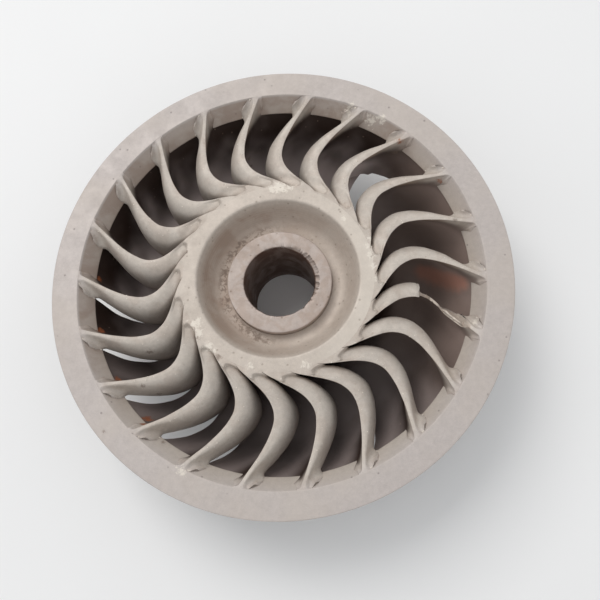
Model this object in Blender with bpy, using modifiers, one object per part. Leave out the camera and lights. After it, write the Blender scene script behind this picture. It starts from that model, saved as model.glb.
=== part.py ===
"""Cast turbine wheel: an outer band, a hub, a bored sleeve and twenty-two spoon-shaped buckets."""
import math

import bmesh
import bpy
import numpy as np

# The wheel lies on its hub with its axis upright; the origin is the centre of the face that it rests on.
MM = 0.001
FACE_Z = 0.150
GAP = 0.0003
FLAT_ANGLE = math.radians(0.3)
STEPS = 66

# Outer band
BAND_OUTER_R = 0.300
BAND_OPENING_R = 0.266
BAND_LOW_R = 0.250
BAND_WALL_DEPTH = 0.0227
BAND_DEPTH = 0.028
BAND_FOOT_STEP = 0.003

# Hub and sleeve
HUB_R = 0.125
HUB_RIM_INNER_R = 0.1067
RECESS_DEPTH = 0.036
HUB_WALL_DEPTH = 0.110
HUB_FOOT_R = 0.090
HUB_CONE_DEPTH = 0.126
HUB_BREAK_IN = 0.010
HUB_BREAK_DOWN = 0.008
FOOT_BREAK = 0.002
# Foot of the recess's wall, from the floor up: radius and height in metres
RECESS_FOOT = ((0.082, 0.0), (0.090, 0.004), (0.098, 0.016))
SLEEVE_R = 0.070
SLEEVE_TOP_DEPTH = 0.0235
BORE_R = 0.0473
SLEEVE_FOOT_BREAK = 0.001
EDGE_BREAK = 0.0015

# Buckets: one station after another from the hub to the band
BUCKETS = 22
PITCH = 360.0 / BUCKETS
FIRST_TIP_ANGLE = -0.9
# Upper edge on the hollow side: radius in mm, angle in degrees, depth below the face in mm
RIDGE = (
    (125.0, -15.0, 0.0),
    (130.0, -10.3, 0.0),
    (136.5, -4.5, 1.0),
    (146.0, 1.8, 4.0),
    (160.0, 6.9, 7.0),
    (177.5, 9.0, 8.0),
    (197.5, 8.0, 8.0),
    (222.0, 5.2, 6.0),
    (246.0, 2.2, 3.0),
    (270.0, -0.5, 0.0),
)
# Far lip of the spoon: radius in mm, angle in degrees, depth below the face in mm
LIP = (
    (125.0, -25.0, 95.0),
    (130.0, -20.0, 98.0),
    (136.5, -15.0, 100.0),
    (146.0, -9.0, 101.0),
    (159.0, -5.0, 101.0),
    (175.0, -2.8, 100.0),
    (193.0, -2.0, 97.0),
    (213.0, -2.8, 88.0),
    (236.0, -5.6, 60.0),
    (256.0, -10.6, 24.0),
)
# At each station: hollow swell, back reach in mm, flat land as a share of it, share of the band and root forms
SWELL = (0.6, 0.7, 0.8, 0.9, 1.0, 1.0, 1.0, 0.9, 0.7, 0.5)
BACK_OUT = (38.0, 38.0, 36.0, 32.0, 29.0, 28.0, 28.0, 27.5, 24.0, 23.0)
LAND = (0.95, 0.80, 0.30, 0.16, 0.16, 0.16, 0.16, 0.16, 0.18, 0.22)
BAND_FORM = (0.0, 0.0, 0.0, 0.0, 0.0, 0.0, 0.0, 0.25, 0.8, 1.0)
ROOT_FORM = (1.0, 1.0, 1.0, 0.75, 0.3, 0.0, 0.0, 0.0, 0.0, 0.0)
# Section of the hollow side, level by level from the upper edge to the lip
HOLLOW_FALL = (0.0, 0.033, 0.10, 0.21, 0.36, 0.54, 0.71, 0.87, 0.96, 1.0)
HOLLOW_TURN = (0.0, 0.0, 0.0, 0.0, 0.02, 0.08, 0.20, 0.45, 0.75, 1.0)
HOLLOW_OUT = (0.0, 1.2, 4.0, 8.5, 13.7, 18.8, 21.0, 19.8, 12.0, 0.0)
END_HOLLOW_FALL = (0.0, 0.07, 0.20, 0.40, 0.60, 0.76, 0.88, 0.95, 1.0, 1.0)
END_HOLLOW_TURN = (0.0, 0.0, 0.0, 0.04, 0.13, 0.27, 0.43, 0.60, 0.80, 1.0)
END_HOLLOW_OUT = (0.0, 0.5, 1.0, 1.5, 2.0, 2.0, 2.0, 1.0, 0.0, 0.0)
INWARD = (0.0, 0.12, 0.30, 0.52, 0.72, 0.87, 0.95, 1.0, 1.0, 1.0)
# Section of the rounded back, its reach from the land on as a share of the stations' values
BACK_FALL = (0.0, 0.016, 0.066, 0.154, 0.31, 0.505, 0.70, 0.90, 1.0, 1.0)
BACK_TURN = (0.0, 0.0, 0.0, 0.0, 0.01, 0.03, 0.10, 0.29, 0.57, 1.0)
BACK_REACH = (0.0, 0.27, 0.53, 0.76, 0.93, 1.05, 1.08, 1.0, 0.69, -0.10)
END_BACK_FALL = (0.0, 0.035, 0.14, 0.31, 0.52, 0.72, 0.93, 1.05, 1.05, 1.0)
END_BACK_TURN = (0.0, 0.0, 0.0, 0.0, 0.02, 0.07, 0.17, 0.35, 0.66, 1.0)
END_BACK_REACH = (0.0, 0.08, 0.22, 0.47, 0.80, 0.97, 0.87, 0.44, 0.0, -0.12)
ROOT_BACK_FALL = (0.0, 0.01, 0.022, 0.045, 0.10, 0.23, 0.48, 0.80, 1.0, 1.0)
ROOT_BACK_REACH = (0.0, 0.26, 0.53, 0.77, 0.92, 1.0, 1.0, 0.91, 0.60, -0.08)
BACK_BELOW = (0.0, 0.0, 0.0, 0.0, 0.0, 0.0, 0.0, 1.0, 4.0, 5.0)
SPAN_CELLS = 12
DEPTH_CELLS = 9

# Room cut out of the bucket ends: how far each cutter reaches past the faces that it clears, in metres
CUTTER_REACH = 0.010
CUTTER_LEAN = 0.007
ROOT_CUTTER_R = 0.060
ROOT_CUTTER_ABOVE = 0.020
ROOT_CUTTER_FOOT = 0.010
NEXT_ROOT_THICKNESS = 0.012
NEXT_ROOT_ROWS = 8

# Damage, as plan outlines of radius in mm, angle in degrees from the bucket's tip and ragged lift in mm
BROKEN_TOP = 21
BROKEN_FLOOR = 3
LOST_EDGE_DEPTH = 24.0
LOST_EDGE_TOP = -10.0
LOST_EDGE = (
    (186.0, 3.0, 8.0),
    (204.0, 0.0, 6.0),
    (222.0, -4.0, 10.0),
    (236.0, -6.0, 6.0),
    (246.0, -8.0, 9.0),
    (244.0, 4.0, 2.0),
    (234.0, 14.0, -20.0),
    (214.0, 19.0, -26.0),
    (195.0, 21.0, -22.0),
    (188.0, 14.0, -6.0),
)
LOST_FLOOR_DEPTH = 62.0
LOST_FLOOR_BOTTOM = 140.0
LOST_FLOOR = (
    (132.0, -34.0, 4.0),
    (262.0, -34.0, 2.0),
    (258.0, -2.0, -1.0),
    (246.0, 8.0, 2.0),
    (224.0, 20.0, 5.0),
    (190.0, 28.0, 1.0),
    (132.0, 34.0, 3.0),
)

STEEL_COLOUR = (0.46, 0.43, 0.40, 1.0)


def clear_scene():
    """Remove the objects that are already there."""
    for obj in list(bpy.data.objects):
        bpy.data.objects.remove(obj, do_unlink=True)


def make_collection(name, hidden=False):
    """Add a collection to the scene."""
    group = bpy.data.collections.new(name)
    bpy.context.scene.collection.children.link(group)
    group.hide_render = hidden
    return group


def steel(name, roughness):
    """Blasted cast steel as a plain material."""
    material = bpy.data.materials.new(name)
    material.use_nodes = True
    shader = material.node_tree.nodes["Principled BSDF"]
    shader.inputs["Base Color"].default_value = STEEL_COLOUR
    shader.inputs["Metallic"].default_value = 0.8
    shader.inputs["Roughness"].default_value = roughness
    return material


def link(obj, group, material=None):
    """Put an object into a collection and give it its material."""
    group.objects.link(obj)
    if material is not None:
        obj.data.materials.append(material)
    return obj


def mark_cutter(obj):
    """Show a cutter as wire and keep it out of the picture."""
    obj.display_type = "WIRE"
    obj.hide_render = True
    return obj


def turned(name, profile, group, material=None):
    """Turn a closed profile of radius and height about the upright axis."""
    mesh = bpy.data.meshes.new(name)
    work = bmesh.new()
    verts = [work.verts.new((radius, 0.0, height)) for radius, height in profile]
    for first, second in zip(verts, verts[1:] + verts[:1]):
        work.edges.new((first, second))
    work.to_mesh(mesh)
    work.free()
    obj = bpy.data.objects.new(name, mesh)
    link(obj, group, material)
    screw = obj.modifiers.new("turn", "SCREW")
    screw.steps = STEPS
    screw.render_steps = STEPS
    screw.use_merge_vertices = True
    screw.merge_threshold = 0.00001
    screw.use_normal_calculate = True
    return obj


def settle(obj):
    """Replace an object's mesh with the result of its modifiers, faces outward."""
    graph = bpy.context.evaluated_depsgraph_get()
    result = bpy.data.meshes.new_from_object(obj.evaluated_get(graph))
    obj.modifiers.clear()
    old = obj.data
    obj.data = result
    result.name = obj.name
    bpy.data.meshes.remove(old)
    work = bmesh.new()
    work.from_mesh(result)
    bmesh.ops.remove_doubles(work, verts=work.verts, dist=0.000002)
    bmesh.ops.dissolve_degenerate(work, dist=0.000002, edges=work.edges)
    bmesh.ops.dissolve_limit(work, angle_limit=FLAT_ANGLE, verts=work.verts, edges=work.edges)
    bmesh.ops.triangulate(work, faces=work.faces)
    bmesh.ops.recalc_face_normals(work, faces=work.faces)
    work.to_mesh(result)
    work.free()
    return obj


def smooth(obj, degrees=35.0):
    """Shade round faces smooth and keep the real edges sharp."""
    obj.data.shade_smooth()
    obj.data.set_sharp_from_angle(angle=math.radians(degrees))


def cut(obj, cutter):
    """Take a cutter away from an object with an exact Boolean."""
    step = obj.modifiers.new("cut", "BOOLEAN")
    step.operation = "DIFFERENCE"
    step.solver = "EXACT"
    step.object = cutter


def height(depth):
    """Height above the floor of a depth below the face."""
    return FACE_Z - depth


def band_clearance_profile():
    """Section of the room that the band takes out of the bucket tips, open above the face."""
    outer = BAND_OUTER_R + CUTTER_REACH
    return (
        (BAND_OPENING_R - GAP + CUTTER_LEAN, height(-CUTTER_REACH)),
        (outer, height(-CUTTER_REACH)),
        (outer, height(BAND_DEPTH) - GAP),
        (BAND_LOW_R + BAND_FOOT_STEP - GAP, height(BAND_DEPTH) - GAP),
        (BAND_LOW_R - GAP * 1.4, height(BAND_WALL_DEPTH) - GAP * 0.5),
    )


def band_profile():
    """Section of the outer band, whose inner wall runs in as it goes down."""
    return (
        (BAND_OPENING_R, height(0.0)),
        (BAND_OUTER_R - EDGE_BREAK, height(0.0)),
        (BAND_OUTER_R, height(EDGE_BREAK)),
        (BAND_OUTER_R, height(BAND_DEPTH - EDGE_BREAK)),
        (BAND_OUTER_R - EDGE_BREAK, height(BAND_DEPTH)),
        (BAND_LOW_R + BAND_FOOT_STEP, height(BAND_DEPTH)),
        (BAND_LOW_R, height(BAND_WALL_DEPTH)),
    )


def hub_profile():
    """Section of the hub casting with its recess and the hole for the sleeve."""
    foot = tuple((radius, height(RECESS_DEPTH - rise)) for radius, rise in RECESS_FOOT)
    return (
        (HUB_RIM_INNER_R, height(0.0)),
        (HUB_R, height(0.0)),
        (HUB_R, height(HUB_WALL_DEPTH)),
        (HUB_R - HUB_BREAK_IN, height(HUB_WALL_DEPTH + HUB_BREAK_DOWN)),
        (HUB_FOOT_R, height(HUB_CONE_DEPTH)),
        (HUB_FOOT_R, FOOT_BREAK),
        (HUB_FOOT_R - FOOT_BREAK, 0.0),
        (SLEEVE_R + GAP, 0.0),
        (SLEEVE_R + GAP, height(RECESS_DEPTH)),
        *foot,
    )


def sleeve_profile():
    """Section of the bored sleeve."""
    top = height(SLEEVE_TOP_DEPTH)
    return (
        (BORE_R, SLEEVE_FOOT_BREAK),
        (BORE_R + SLEEVE_FOOT_BREAK, 0.0),
        (SLEEVE_R - SLEEVE_FOOT_BREAK, 0.0),
        (SLEEVE_R, SLEEVE_FOOT_BREAK),
        (SLEEVE_R, top - EDGE_BREAK),
        (SLEEVE_R - EDGE_BREAK, top),
        (BORE_R + EDGE_BREAK, top),
        (BORE_R, top - EDGE_BREAK),
    )


def curve_through(values, count):
    """Smooth curve through evenly numbered values, as count + 1 rows."""
    values = np.asarray(values, dtype=float)
    if values.ndim == 1:
        values = values[:, None]
    last = len(values) - 1
    place = np.linspace(0.0, last, count + 1)
    cell = np.clip(place.astype(int), 0, last - 1)
    t = (place - cell)[:, None]
    before = values[np.clip(cell - 1, 0, last)]
    start = values[cell]
    end = values[cell + 1]
    after = values[np.clip(cell + 2, 0, last)]
    return 0.5 * (
        2.0 * start
        + (end - before) * t
        + (2.0 * before - 5.0 * start + 4.0 * end - after) * t ** 2
        + (3.0 * start - before - 3.0 * end + after) * t ** 3
    )


def level_values(values, count):
    """Values of a section table at evenly numbered levels."""
    return curve_through(values, count)[:, 0]


def blend_forms(share, deep, end_form, count):
    """Section table at each station, between the deep form and the band end's form."""
    return (1.0 - share) * level_values(deep, count) + share * level_values(end_form, count)


def polar_points(radius, angle, down):
    """Points in metres from radius in mm, angle in degrees and depth in mm."""
    turn = np.radians(angle)
    return np.stack((radius * np.cos(turn) * MM, radius * np.sin(turn) * MM, FACE_Z - down * MM), axis=-1)


def bucket_surface(span, depth, fall, turn, out, below):
    """Points of one side of a bucket in metres, as span + 1 rows of depth + 1 points."""
    ridge = curve_through(RIDGE, span)
    lip = curve_through(LIP, span)
    radius = ridge[:, :1] + (lip[:, :1] - ridge[:, :1]) * level_values(INWARD, depth)
    angle = ridge[:, 1:2] + (lip[:, 1:2] - ridge[:, 1:2]) * turn + np.degrees(out / radius)
    down = ridge[:, 2:3] + (lip[:, 2:3] - ridge[:, 2:3]) * fall + below
    return polar_points(radius, angle, np.maximum(down, 0.0))


def hollow_surface(span, depth):
    """Points of the hollow side."""
    share = np.clip(curve_through(BAND_FORM, span), 0.0, 1.0)
    fall = blend_forms(share, HOLLOW_FALL, END_HOLLOW_FALL, depth)
    turn = blend_forms(share, HOLLOW_TURN, END_HOLLOW_TURN, depth)
    out = blend_forms(share, HOLLOW_OUT, END_HOLLOW_OUT, depth) * curve_through(SWELL, span)
    return bucket_surface(span, depth, fall, turn, out, 0.0)


def back_surface(span, depth):
    """Points of the rounded back."""
    share = np.clip(curve_through(BAND_FORM, span), 0.0, 1.0)
    root = np.clip(curve_through(ROOT_FORM, span), 0.0, 1.0)
    fall = blend_forms(share, BACK_FALL, END_BACK_FALL, depth)
    fall = fall + root * (level_values(ROOT_BACK_FALL, depth) - fall)
    turn = blend_forms(share, BACK_TURN, END_BACK_TURN, depth)
    reach = blend_forms(share, BACK_REACH, END_BACK_REACH, depth)
    reach = reach + root * (level_values(ROOT_BACK_REACH, depth) - reach)
    land = curve_through(LAND, span)
    out = (land + (1.0 - land) * reach) * curve_through(BACK_OUT, span)
    return bucket_surface(span, depth, fall, turn, out, level_values(BACK_BELOW, depth))


def surface_normals(points):
    """Unit normals of a grid of points, on the side of the rounded back."""
    along = np.gradient(points, axis=0)
    down = np.gradient(points, axis=1)
    normal = np.cross(along, down)
    return normal / np.linalg.norm(normal, axis=-1, keepdims=True)


def grid_verts(work, points):
    """Make the vertices of a grid."""
    return [[work.verts.new(point) for point in row] for row in points]


def bucket_mesh(name):
    """Closed loft between the hollow side and the rounded back of one bucket."""
    hollow = hollow_surface(SPAN_CELLS, DEPTH_CELLS)
    back = back_surface(SPAN_CELLS, DEPTH_CELLS)
    work = bmesh.new()
    front_rows = grid_verts(work, hollow)
    back_rows = grid_verts(work, back)
    for i in range(SPAN_CELLS):
        for j in range(DEPTH_CELLS):
            here, after = front_rows[i], front_rows[i + 1]
            work.faces.new((here[j], here[j + 1], after[j + 1], after[j]))
            here, after = back_rows[i], back_rows[i + 1]
            work.faces.new((here[j], after[j], after[j + 1], here[j + 1]))
        for j in (0, DEPTH_CELLS):
            work.faces.new((front_rows[i][j], front_rows[i + 1][j], back_rows[i + 1][j], back_rows[i][j]))
    for j in range(DEPTH_CELLS):
        for i in (0, SPAN_CELLS):
            work.faces.new((front_rows[i][j], front_rows[i][j + 1], back_rows[i][j + 1], back_rows[i][j]))
    bmesh.ops.triangulate(work, faces=work.faces)
    bmesh.ops.recalc_face_normals(work, faces=work.faces)
    mesh = bpy.data.meshes.new(name)
    work.to_mesh(mesh)
    work.free()
    return mesh


def hub_clearance_profile():
    """Section of the room that the hub takes out of the bucket roots."""
    return (
        (ROOT_CUTTER_R, height(-ROOT_CUTTER_ABOVE)),
        (HUB_R + GAP, height(-ROOT_CUTTER_ABOVE)),
        (HUB_R + GAP, ROOT_CUTTER_FOOT),
        (ROOT_CUTTER_R, ROOT_CUTTER_FOOT),
    )


def smooth_turned(name, profile, group, material):
    """Turned piece with round faces shaded smooth."""
    obj = settle(turned(name, profile, group, material))
    smooth(obj)
    return obj


def next_root_cutter(group):
    """Solid that clears a root from the hollow side of the next bucket."""
    hollow = hollow_surface(SPAN_CELLS, DEPTH_CELLS)
    normal = surface_normals(hollow)
    near = hollow - normal * GAP
    far = hollow + normal * NEXT_ROOT_THICKNESS
    work = bmesh.new()
    near_rows = grid_verts(work, near[:NEXT_ROOT_ROWS])
    far_rows = grid_verts(work, far[:NEXT_ROOT_ROWS])
    rows = len(near_rows) - 1
    for i in range(rows):
        for j in range(DEPTH_CELLS):
            work.faces.new((near_rows[i][j], near_rows[i][j + 1], near_rows[i + 1][j + 1], near_rows[i + 1][j]))
            work.faces.new((far_rows[i][j], far_rows[i + 1][j], far_rows[i + 1][j + 1], far_rows[i][j + 1]))
        for j in (0, DEPTH_CELLS):
            work.faces.new((near_rows[i][j], near_rows[i + 1][j], far_rows[i + 1][j], far_rows[i][j]))
    for j in range(DEPTH_CELLS):
        for i in (0, rows):
            work.faces.new((near_rows[i][j], near_rows[i][j + 1], far_rows[i][j + 1], far_rows[i][j]))
    bmesh.ops.triangulate(work, faces=work.faces)
    bmesh.ops.recalc_face_normals(work, faces=work.faces)
    mesh = bpy.data.meshes.new("next_root")
    work.to_mesh(mesh)
    work.free()
    obj = bpy.data.objects.new("next_root", mesh)
    obj.rotation_euler.z = math.radians(PITCH)
    link(obj, group)
    return mark_cutter(obj)


def ragged_block(name, group, outline, low, high):
    """Upright block over a plan outline of radius in mm and angle in degrees, for breaking a bucket."""
    work = bmesh.new()
    rings = []
    for depth in (low, high):
        ring = []
        for radius, angle, lift in outline:
            turn = math.radians(angle)
            level = height((depth - lift) * MM) if depth == low else height(depth * MM)
            ring.append(work.verts.new((radius * math.cos(turn) * MM, radius * math.sin(turn) * MM, level)))
        rings.append(ring)
    count = len(outline)
    for i in range(count):
        j = (i + 1) % count
        work.faces.new((rings[0][i], rings[0][j], rings[1][j], rings[1][i]))
    work.faces.new(rings[0])
    work.faces.new(rings[1])
    bmesh.ops.triangulate(work, faces=work.faces)
    bmesh.ops.recalc_face_normals(work, faces=work.faces)
    mesh = bpy.data.meshes.new(name)
    work.to_mesh(mesh)
    work.free()
    return mark_cutter(link(bpy.data.objects.new(name, mesh), group))


def copy_of(source, name, group):
    """Another object with the same mesh."""
    obj = bpy.data.objects.new(name, source.data)
    group.objects.link(obj)
    return obj


def broken(source, name, cutter, group):
    """Bucket with a piece broken out of it."""
    obj = bpy.data.objects.new(name, source.data.copy())
    group.objects.link(obj)
    cut(obj, cutter)
    settle(obj)
    smooth(obj, 50.0)
    return obj


def main():
    """Build every piece."""
    clear_scene()
    parts = make_collection("turbine_wheel")
    cutters = make_collection("cutters", hidden=True)
    smooth_turned("outer_band", band_profile(), parts, steel("band_steel", 0.5))
    smooth_turned("hub", hub_profile(), parts, steel("hub_steel", 0.5))
    smooth_turned("bore_sleeve", sleeve_profile(), parts, steel("sleeve_steel", 0.45))
    band_cutter = mark_cutter(settle(turned("band_clearance", band_clearance_profile(), cutters)))
    hub_cutter = mark_cutter(settle(turned("hub_clearance", hub_clearance_profile(), cutters)))
    top_cutter = ragged_block("lost_edge", cutters, LOST_EDGE, LOST_EDGE_DEPTH, LOST_EDGE_TOP)
    floor_cutter = ragged_block("lost_floor", cutters, LOST_FLOOR, LOST_FLOOR_DEPTH, LOST_FLOOR_BOTTOM)
    whole = bpy.data.objects.new("bucket_01", bucket_mesh("bucket"))
    link(whole, parts, steel("bucket_steel", 0.55))
    for cutter in (band_cutter, hub_cutter, next_root_cutter(cutters)):
        cut(whole, cutter)
    settle(whole)
    smooth(whole, 50.0)
    cutter_for = {BROKEN_TOP: top_cutter, BROKEN_FLOOR: floor_cutter}
    for index in range(BUCKETS):
        name = "bucket_%02d" % (index + 1)
        if index in cutter_for:
            obj = broken(whole, name, cutter_for[index], parts)
        elif index == 0:
            obj = whole
        else:
            obj = copy_of(whole, name, parts)
        obj.rotation_euler.z = math.radians(FIRST_TIP_ANGLE + index * PITCH)


main()
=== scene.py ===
"""Looks of a cast turbine wheel: blasted band and hub, bored sleeve and twenty-two spoon-shaped buckets."""
import math

import bmesh
import bpy
import numpy as np
from bpy.props import FloatProperty, FloatVectorProperty, IntProperty, PointerProperty
from mathutils import Matrix, Vector, noise


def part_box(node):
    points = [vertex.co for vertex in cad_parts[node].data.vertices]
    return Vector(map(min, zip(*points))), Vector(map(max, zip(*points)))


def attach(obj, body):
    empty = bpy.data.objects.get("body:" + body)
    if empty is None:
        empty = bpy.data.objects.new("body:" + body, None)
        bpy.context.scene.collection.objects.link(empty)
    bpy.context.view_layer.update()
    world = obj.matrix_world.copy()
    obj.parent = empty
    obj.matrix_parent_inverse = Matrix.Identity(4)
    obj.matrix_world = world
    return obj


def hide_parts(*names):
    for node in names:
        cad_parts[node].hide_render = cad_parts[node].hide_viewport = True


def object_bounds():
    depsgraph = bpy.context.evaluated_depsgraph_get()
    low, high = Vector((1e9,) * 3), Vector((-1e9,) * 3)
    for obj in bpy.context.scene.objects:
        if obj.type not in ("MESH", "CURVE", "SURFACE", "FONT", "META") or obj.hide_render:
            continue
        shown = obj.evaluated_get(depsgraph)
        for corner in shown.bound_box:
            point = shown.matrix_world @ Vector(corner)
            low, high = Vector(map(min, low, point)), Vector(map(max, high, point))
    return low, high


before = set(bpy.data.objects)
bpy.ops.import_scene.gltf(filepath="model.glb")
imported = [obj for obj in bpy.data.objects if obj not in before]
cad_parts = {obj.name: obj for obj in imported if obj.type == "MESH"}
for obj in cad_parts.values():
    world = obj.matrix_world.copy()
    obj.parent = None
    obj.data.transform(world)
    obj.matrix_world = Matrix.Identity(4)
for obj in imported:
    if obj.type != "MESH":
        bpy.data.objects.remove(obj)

bl_info = {
    "name": "Turbine wheel looks",
    "version": (1, 0, 0),
    "blender": (4, 5, 0),
    "location": "View3D > Sidebar > Turbine wheel",
    "description": "Builds the finished surfaces of a cast turbine wheel around its plain solids",
    "category": "Object",
}

CAD_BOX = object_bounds()
FACE_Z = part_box("outer_band")[1].z
BAND_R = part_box("outer_band")[1].x
BODY = "root"
MM = 0.001
BUCKETS = 22
PITCH = 360.0 / BUCKETS
FIRST_TIP_ANGLE = -0.9
BROKEN_TOP = 21
BROKEN_FLOOR = 3
LAST_STATION = 9.0
BAND_DEPTH = 28.0
WALL_DEPTH = 0.0227
FLUSH_DROP = 0.00008
UNDER_FACE = 0.0006
EDGE_GAP = 0.0001
TINY = 1e-12

# Camera: its place over the wheel, and the point of the face that it looks at, in metres
CAMERA_PLACE = Vector((0.0865491, -0.2232647, 0.7392137 + FACE_Z))
CAMERA_AIM = Vector((0.0298589, -0.0320291, FACE_Z))
CAMERA_LENS = 36.0

# Bucket form, station by station from the hub to the band: radius in mm, angle in degrees, depth in mm
RIDGE = (
    (125.0, -15.0, 0.0),
    (130.0, -10.3, 0.0),
    (136.5, -4.5, 1.0),
    (146.0, 1.8, 4.0),
    (160.0, 6.9, 7.0),
    (177.5, 9.0, 8.0),
    (197.5, 8.0, 8.0),
    (222.0, 5.2, 6.0),
    (246.0, 2.2, 3.0),
    (270.0, -0.5, 0.0),
)
LIP = (
    (125.0, -25.0, 95.0),
    (130.0, -20.0, 98.0),
    (136.5, -15.0, 100.0),
    (146.0, -9.0, 101.0),
    (159.0, -5.0, 101.0),
    (175.0, -2.8, 100.0),
    (193.0, -2.0, 97.0),
    (213.0, -2.8, 88.0),
    (236.0, -5.6, 60.0),
    (256.0, -10.6, 24.0),
)
SWELL = (0.6, 0.7, 0.8, 0.9, 1.0, 1.0, 1.0, 0.9, 0.7, 0.5)
BACK_OUT = (38.0, 38.0, 36.0, 32.0, 29.0, 28.0, 28.0, 28.5, 26.0, 25.0)
LAND = (0.16, 0.16, 0.16, 0.16, 0.16, 0.16, 0.16, 0.16, 0.17, 0.20)
BAND_FORM = (0.0, 0.0, 0.0, 0.0, 0.0, 0.0, 0.0, 0.25, 0.8, 1.0)
ROOT_FORM = (1.0, 1.0, 1.0, 0.75, 0.3, 0.0, 0.0, 0.0, 0.0, 0.0)
# Sections, level by level from the upper edge to the lip
HOLLOW_FALL = (0.0, 0.033, 0.10, 0.21, 0.36, 0.54, 0.71, 0.87, 0.96, 1.0)
HOLLOW_TURN = (0.0, 0.0, 0.0, 0.0, 0.02, 0.08, 0.20, 0.45, 0.75, 1.0)
HOLLOW_OUT = (0.0, 1.2, 4.0, 8.5, 13.7, 18.8, 21.0, 19.8, 12.0, 0.0)
END_HOLLOW_FALL = (0.0, 0.07, 0.20, 0.40, 0.60, 0.76, 0.88, 0.95, 1.0, 1.0)
END_HOLLOW_TURN = (0.0, 0.0, 0.0, 0.04, 0.13, 0.27, 0.43, 0.60, 0.80, 1.0)
END_HOLLOW_OUT = (0.0, 0.5, 1.0, 1.5, 2.0, 2.0, 2.0, 1.0, 0.0, 0.0)
INWARD = (0.0, 0.12, 0.30, 0.52, 0.72, 0.87, 0.95, 1.0, 1.0, 1.0)
BACK_FALL = (0.0, 0.016, 0.066, 0.154, 0.31, 0.505, 0.70, 0.90, 1.0, 1.0)
BACK_TURN = (0.0, 0.0, 0.0, 0.0, 0.01, 0.03, 0.10, 0.29, 0.57, 1.0)
BACK_REACH = (0.0, 0.27, 0.53, 0.76, 0.93, 1.05, 1.08, 1.0, 0.69, -0.10)
END_BACK_FALL = (0.0, 0.035, 0.14, 0.31, 0.52, 0.72, 0.93, 1.05, 1.05, 1.0)
END_BACK_TURN = (0.0, 0.0, 0.0, 0.0, 0.02, 0.07, 0.17, 0.35, 0.66, 1.0)
END_BACK_REACH = (0.0, 0.08, 0.22, 0.47, 0.80, 0.97, 0.87, 0.44, 0.0, -0.12)
ROOT_BACK_FALL = (0.0, 0.01, 0.022, 0.045, 0.10, 0.23, 0.48, 0.80, 1.0, 1.0)
ROOT_BACK_REACH = (0.0, 0.26, 0.53, 0.77, 0.92, 1.0, 1.0, 0.91, 0.60, -0.08)
BACK_BELOW = (0.0, 0.0, 0.0, 0.0, 0.0, 0.0, 0.0, 1.0, 4.0, 5.0)

# Stations along a bucket and levels down its sections: start, end and steps of each evenly split run
STATION_RUNS = ((0.0, 0.7, 4), (0.7, 2.3, 20), (2.3, 8.0, 32), (8.0, 8.45, 6), (8.45, LAST_STATION, 16))
LEVEL_RUNS = ((0.0, 1.0, 6), (1.0, LAST_STATION, 27))

# Rows across the land: share of the edge round and how far it falls, then shares of the whole land
ROUND_ROWS = ((0.0, 1.0), (0.25, 0.32), (1.0, 0.0))
FLAT_ROWS = (0.25, 0.45, 0.65, 0.85)
LAND_ROWS = len(ROUND_ROWS) + len(FLAT_ROWS)
# Section map: where the hollow ends, the land lies and the back starts; then how far the lip's middle hangs
HOLLOW_END = 0.48
LAND_SPAN = (0.485, 0.515)
BACK_START = 0.52
LIP_ROUND = 0.0012

# Fillets: share of the wall gap that counts, depth where they reach full width, and where each runs out
FILLET_GAP = 0.82
FILLET_TOP = 0.008
LEAST_FILLET = 1e-6
HOLLOW_FADE = (0.010, 0.0222)
BACK_FADE = (0.019, 0.036)

# Cast skin: waves to the metre and their strength, and how far a bucket's ends stay under band and hub
SKIN_WAVES = ((55.0, 1.0), (210.0, 0.35))
SKIN_SHIFT = (3.7, 1.9, 5.3)
SKIN_STRENGTH = 1.4
TURNED_WAVES = 45.0
SEAT_RUN = 0.0015
HUB_SEAT = 0.0006

# Rim of the fingertips: they end in a small step below the hub's face
TIP_RADIUS = 128.0
TIP_CURVE = 9.0
TIP_APEX = 0.87
TIP_STEP = 3.6
TIP_LAND = 3.5
TIP_WIDTH = 31.0
TIP_EDGE = (-0.3, 1.3)
TIP_SIDE = (-1.0, 2.5)
TIP_FADE = (137.0, 152.0)
TIP_LEVELS = (4.0, 4.8)
TIP_END = 153.0

# How far each bucket's lip reaches on under its neighbour, in mm, and the stations where that starts and ends
LIP_REACH = 8.5
REACH_START = (1.5, 4.0)
REACH_END = (8.3, 9.0)
OPEN_SLITS = {11: 11.5, 12: 4.5, 13: 4.0, 14: -1.0, 15: -0.5, 16: 8.5, 17: 14.0, 18: 12.5}

# Fresh rust: x, y and depth in mm, then size in mm
RUST_SPOTS = (
    (-249, 5, 27, 6), (-238, -68, 26, 8), (-210, -132, 27, 7), (-167, -182, 32, 9), (-167, -189, 17, 6),
    (162, 191, 5, 6), (214, 136, 13, 5),
)
# Brown oval film on the hollow of the first bucket, in the same way
FILM_SPOTS = (
    (198, 28, 77, 20), (204, 24, 73, 22), (210, 20, 69, 24), (217, 16, 62, 24), (223, 12, 56, 24),
    (229, 8, 49, 23), (235, 4, 42, 21), (241, 1, 35, 16),
)
# Pale rubbed patches and dabs, in the same way
BRIGHT_SPOTS = (
    (-12, 122, 0, 7), (0, 125, 0, 11), (13, 128, 0, 7), (-104, -64, 0, 9), (-98, -75, 0, 7),
    (-87, -93, 0, 7), (-78, -98, 0, 5), (116, 40, 0, 5), (121, 28, 0, 6), (123, 13, 0, 5), (128, -4, 0, 5),
    (120, 51, 0, 5), (-111, -243, 0, 6), (-107, -247, 0, 5), (93, 244, 7, 8), (97, 247, 1, 5),
    (123, 228, 10, 9), (137, 226, 3, 8), (251, -58, 9, 7), (85, 79, 0, 5), (38, -115, 0, 6),
    (-31, -117, 0, 5), (100, -90, 0, 5),
)
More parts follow.
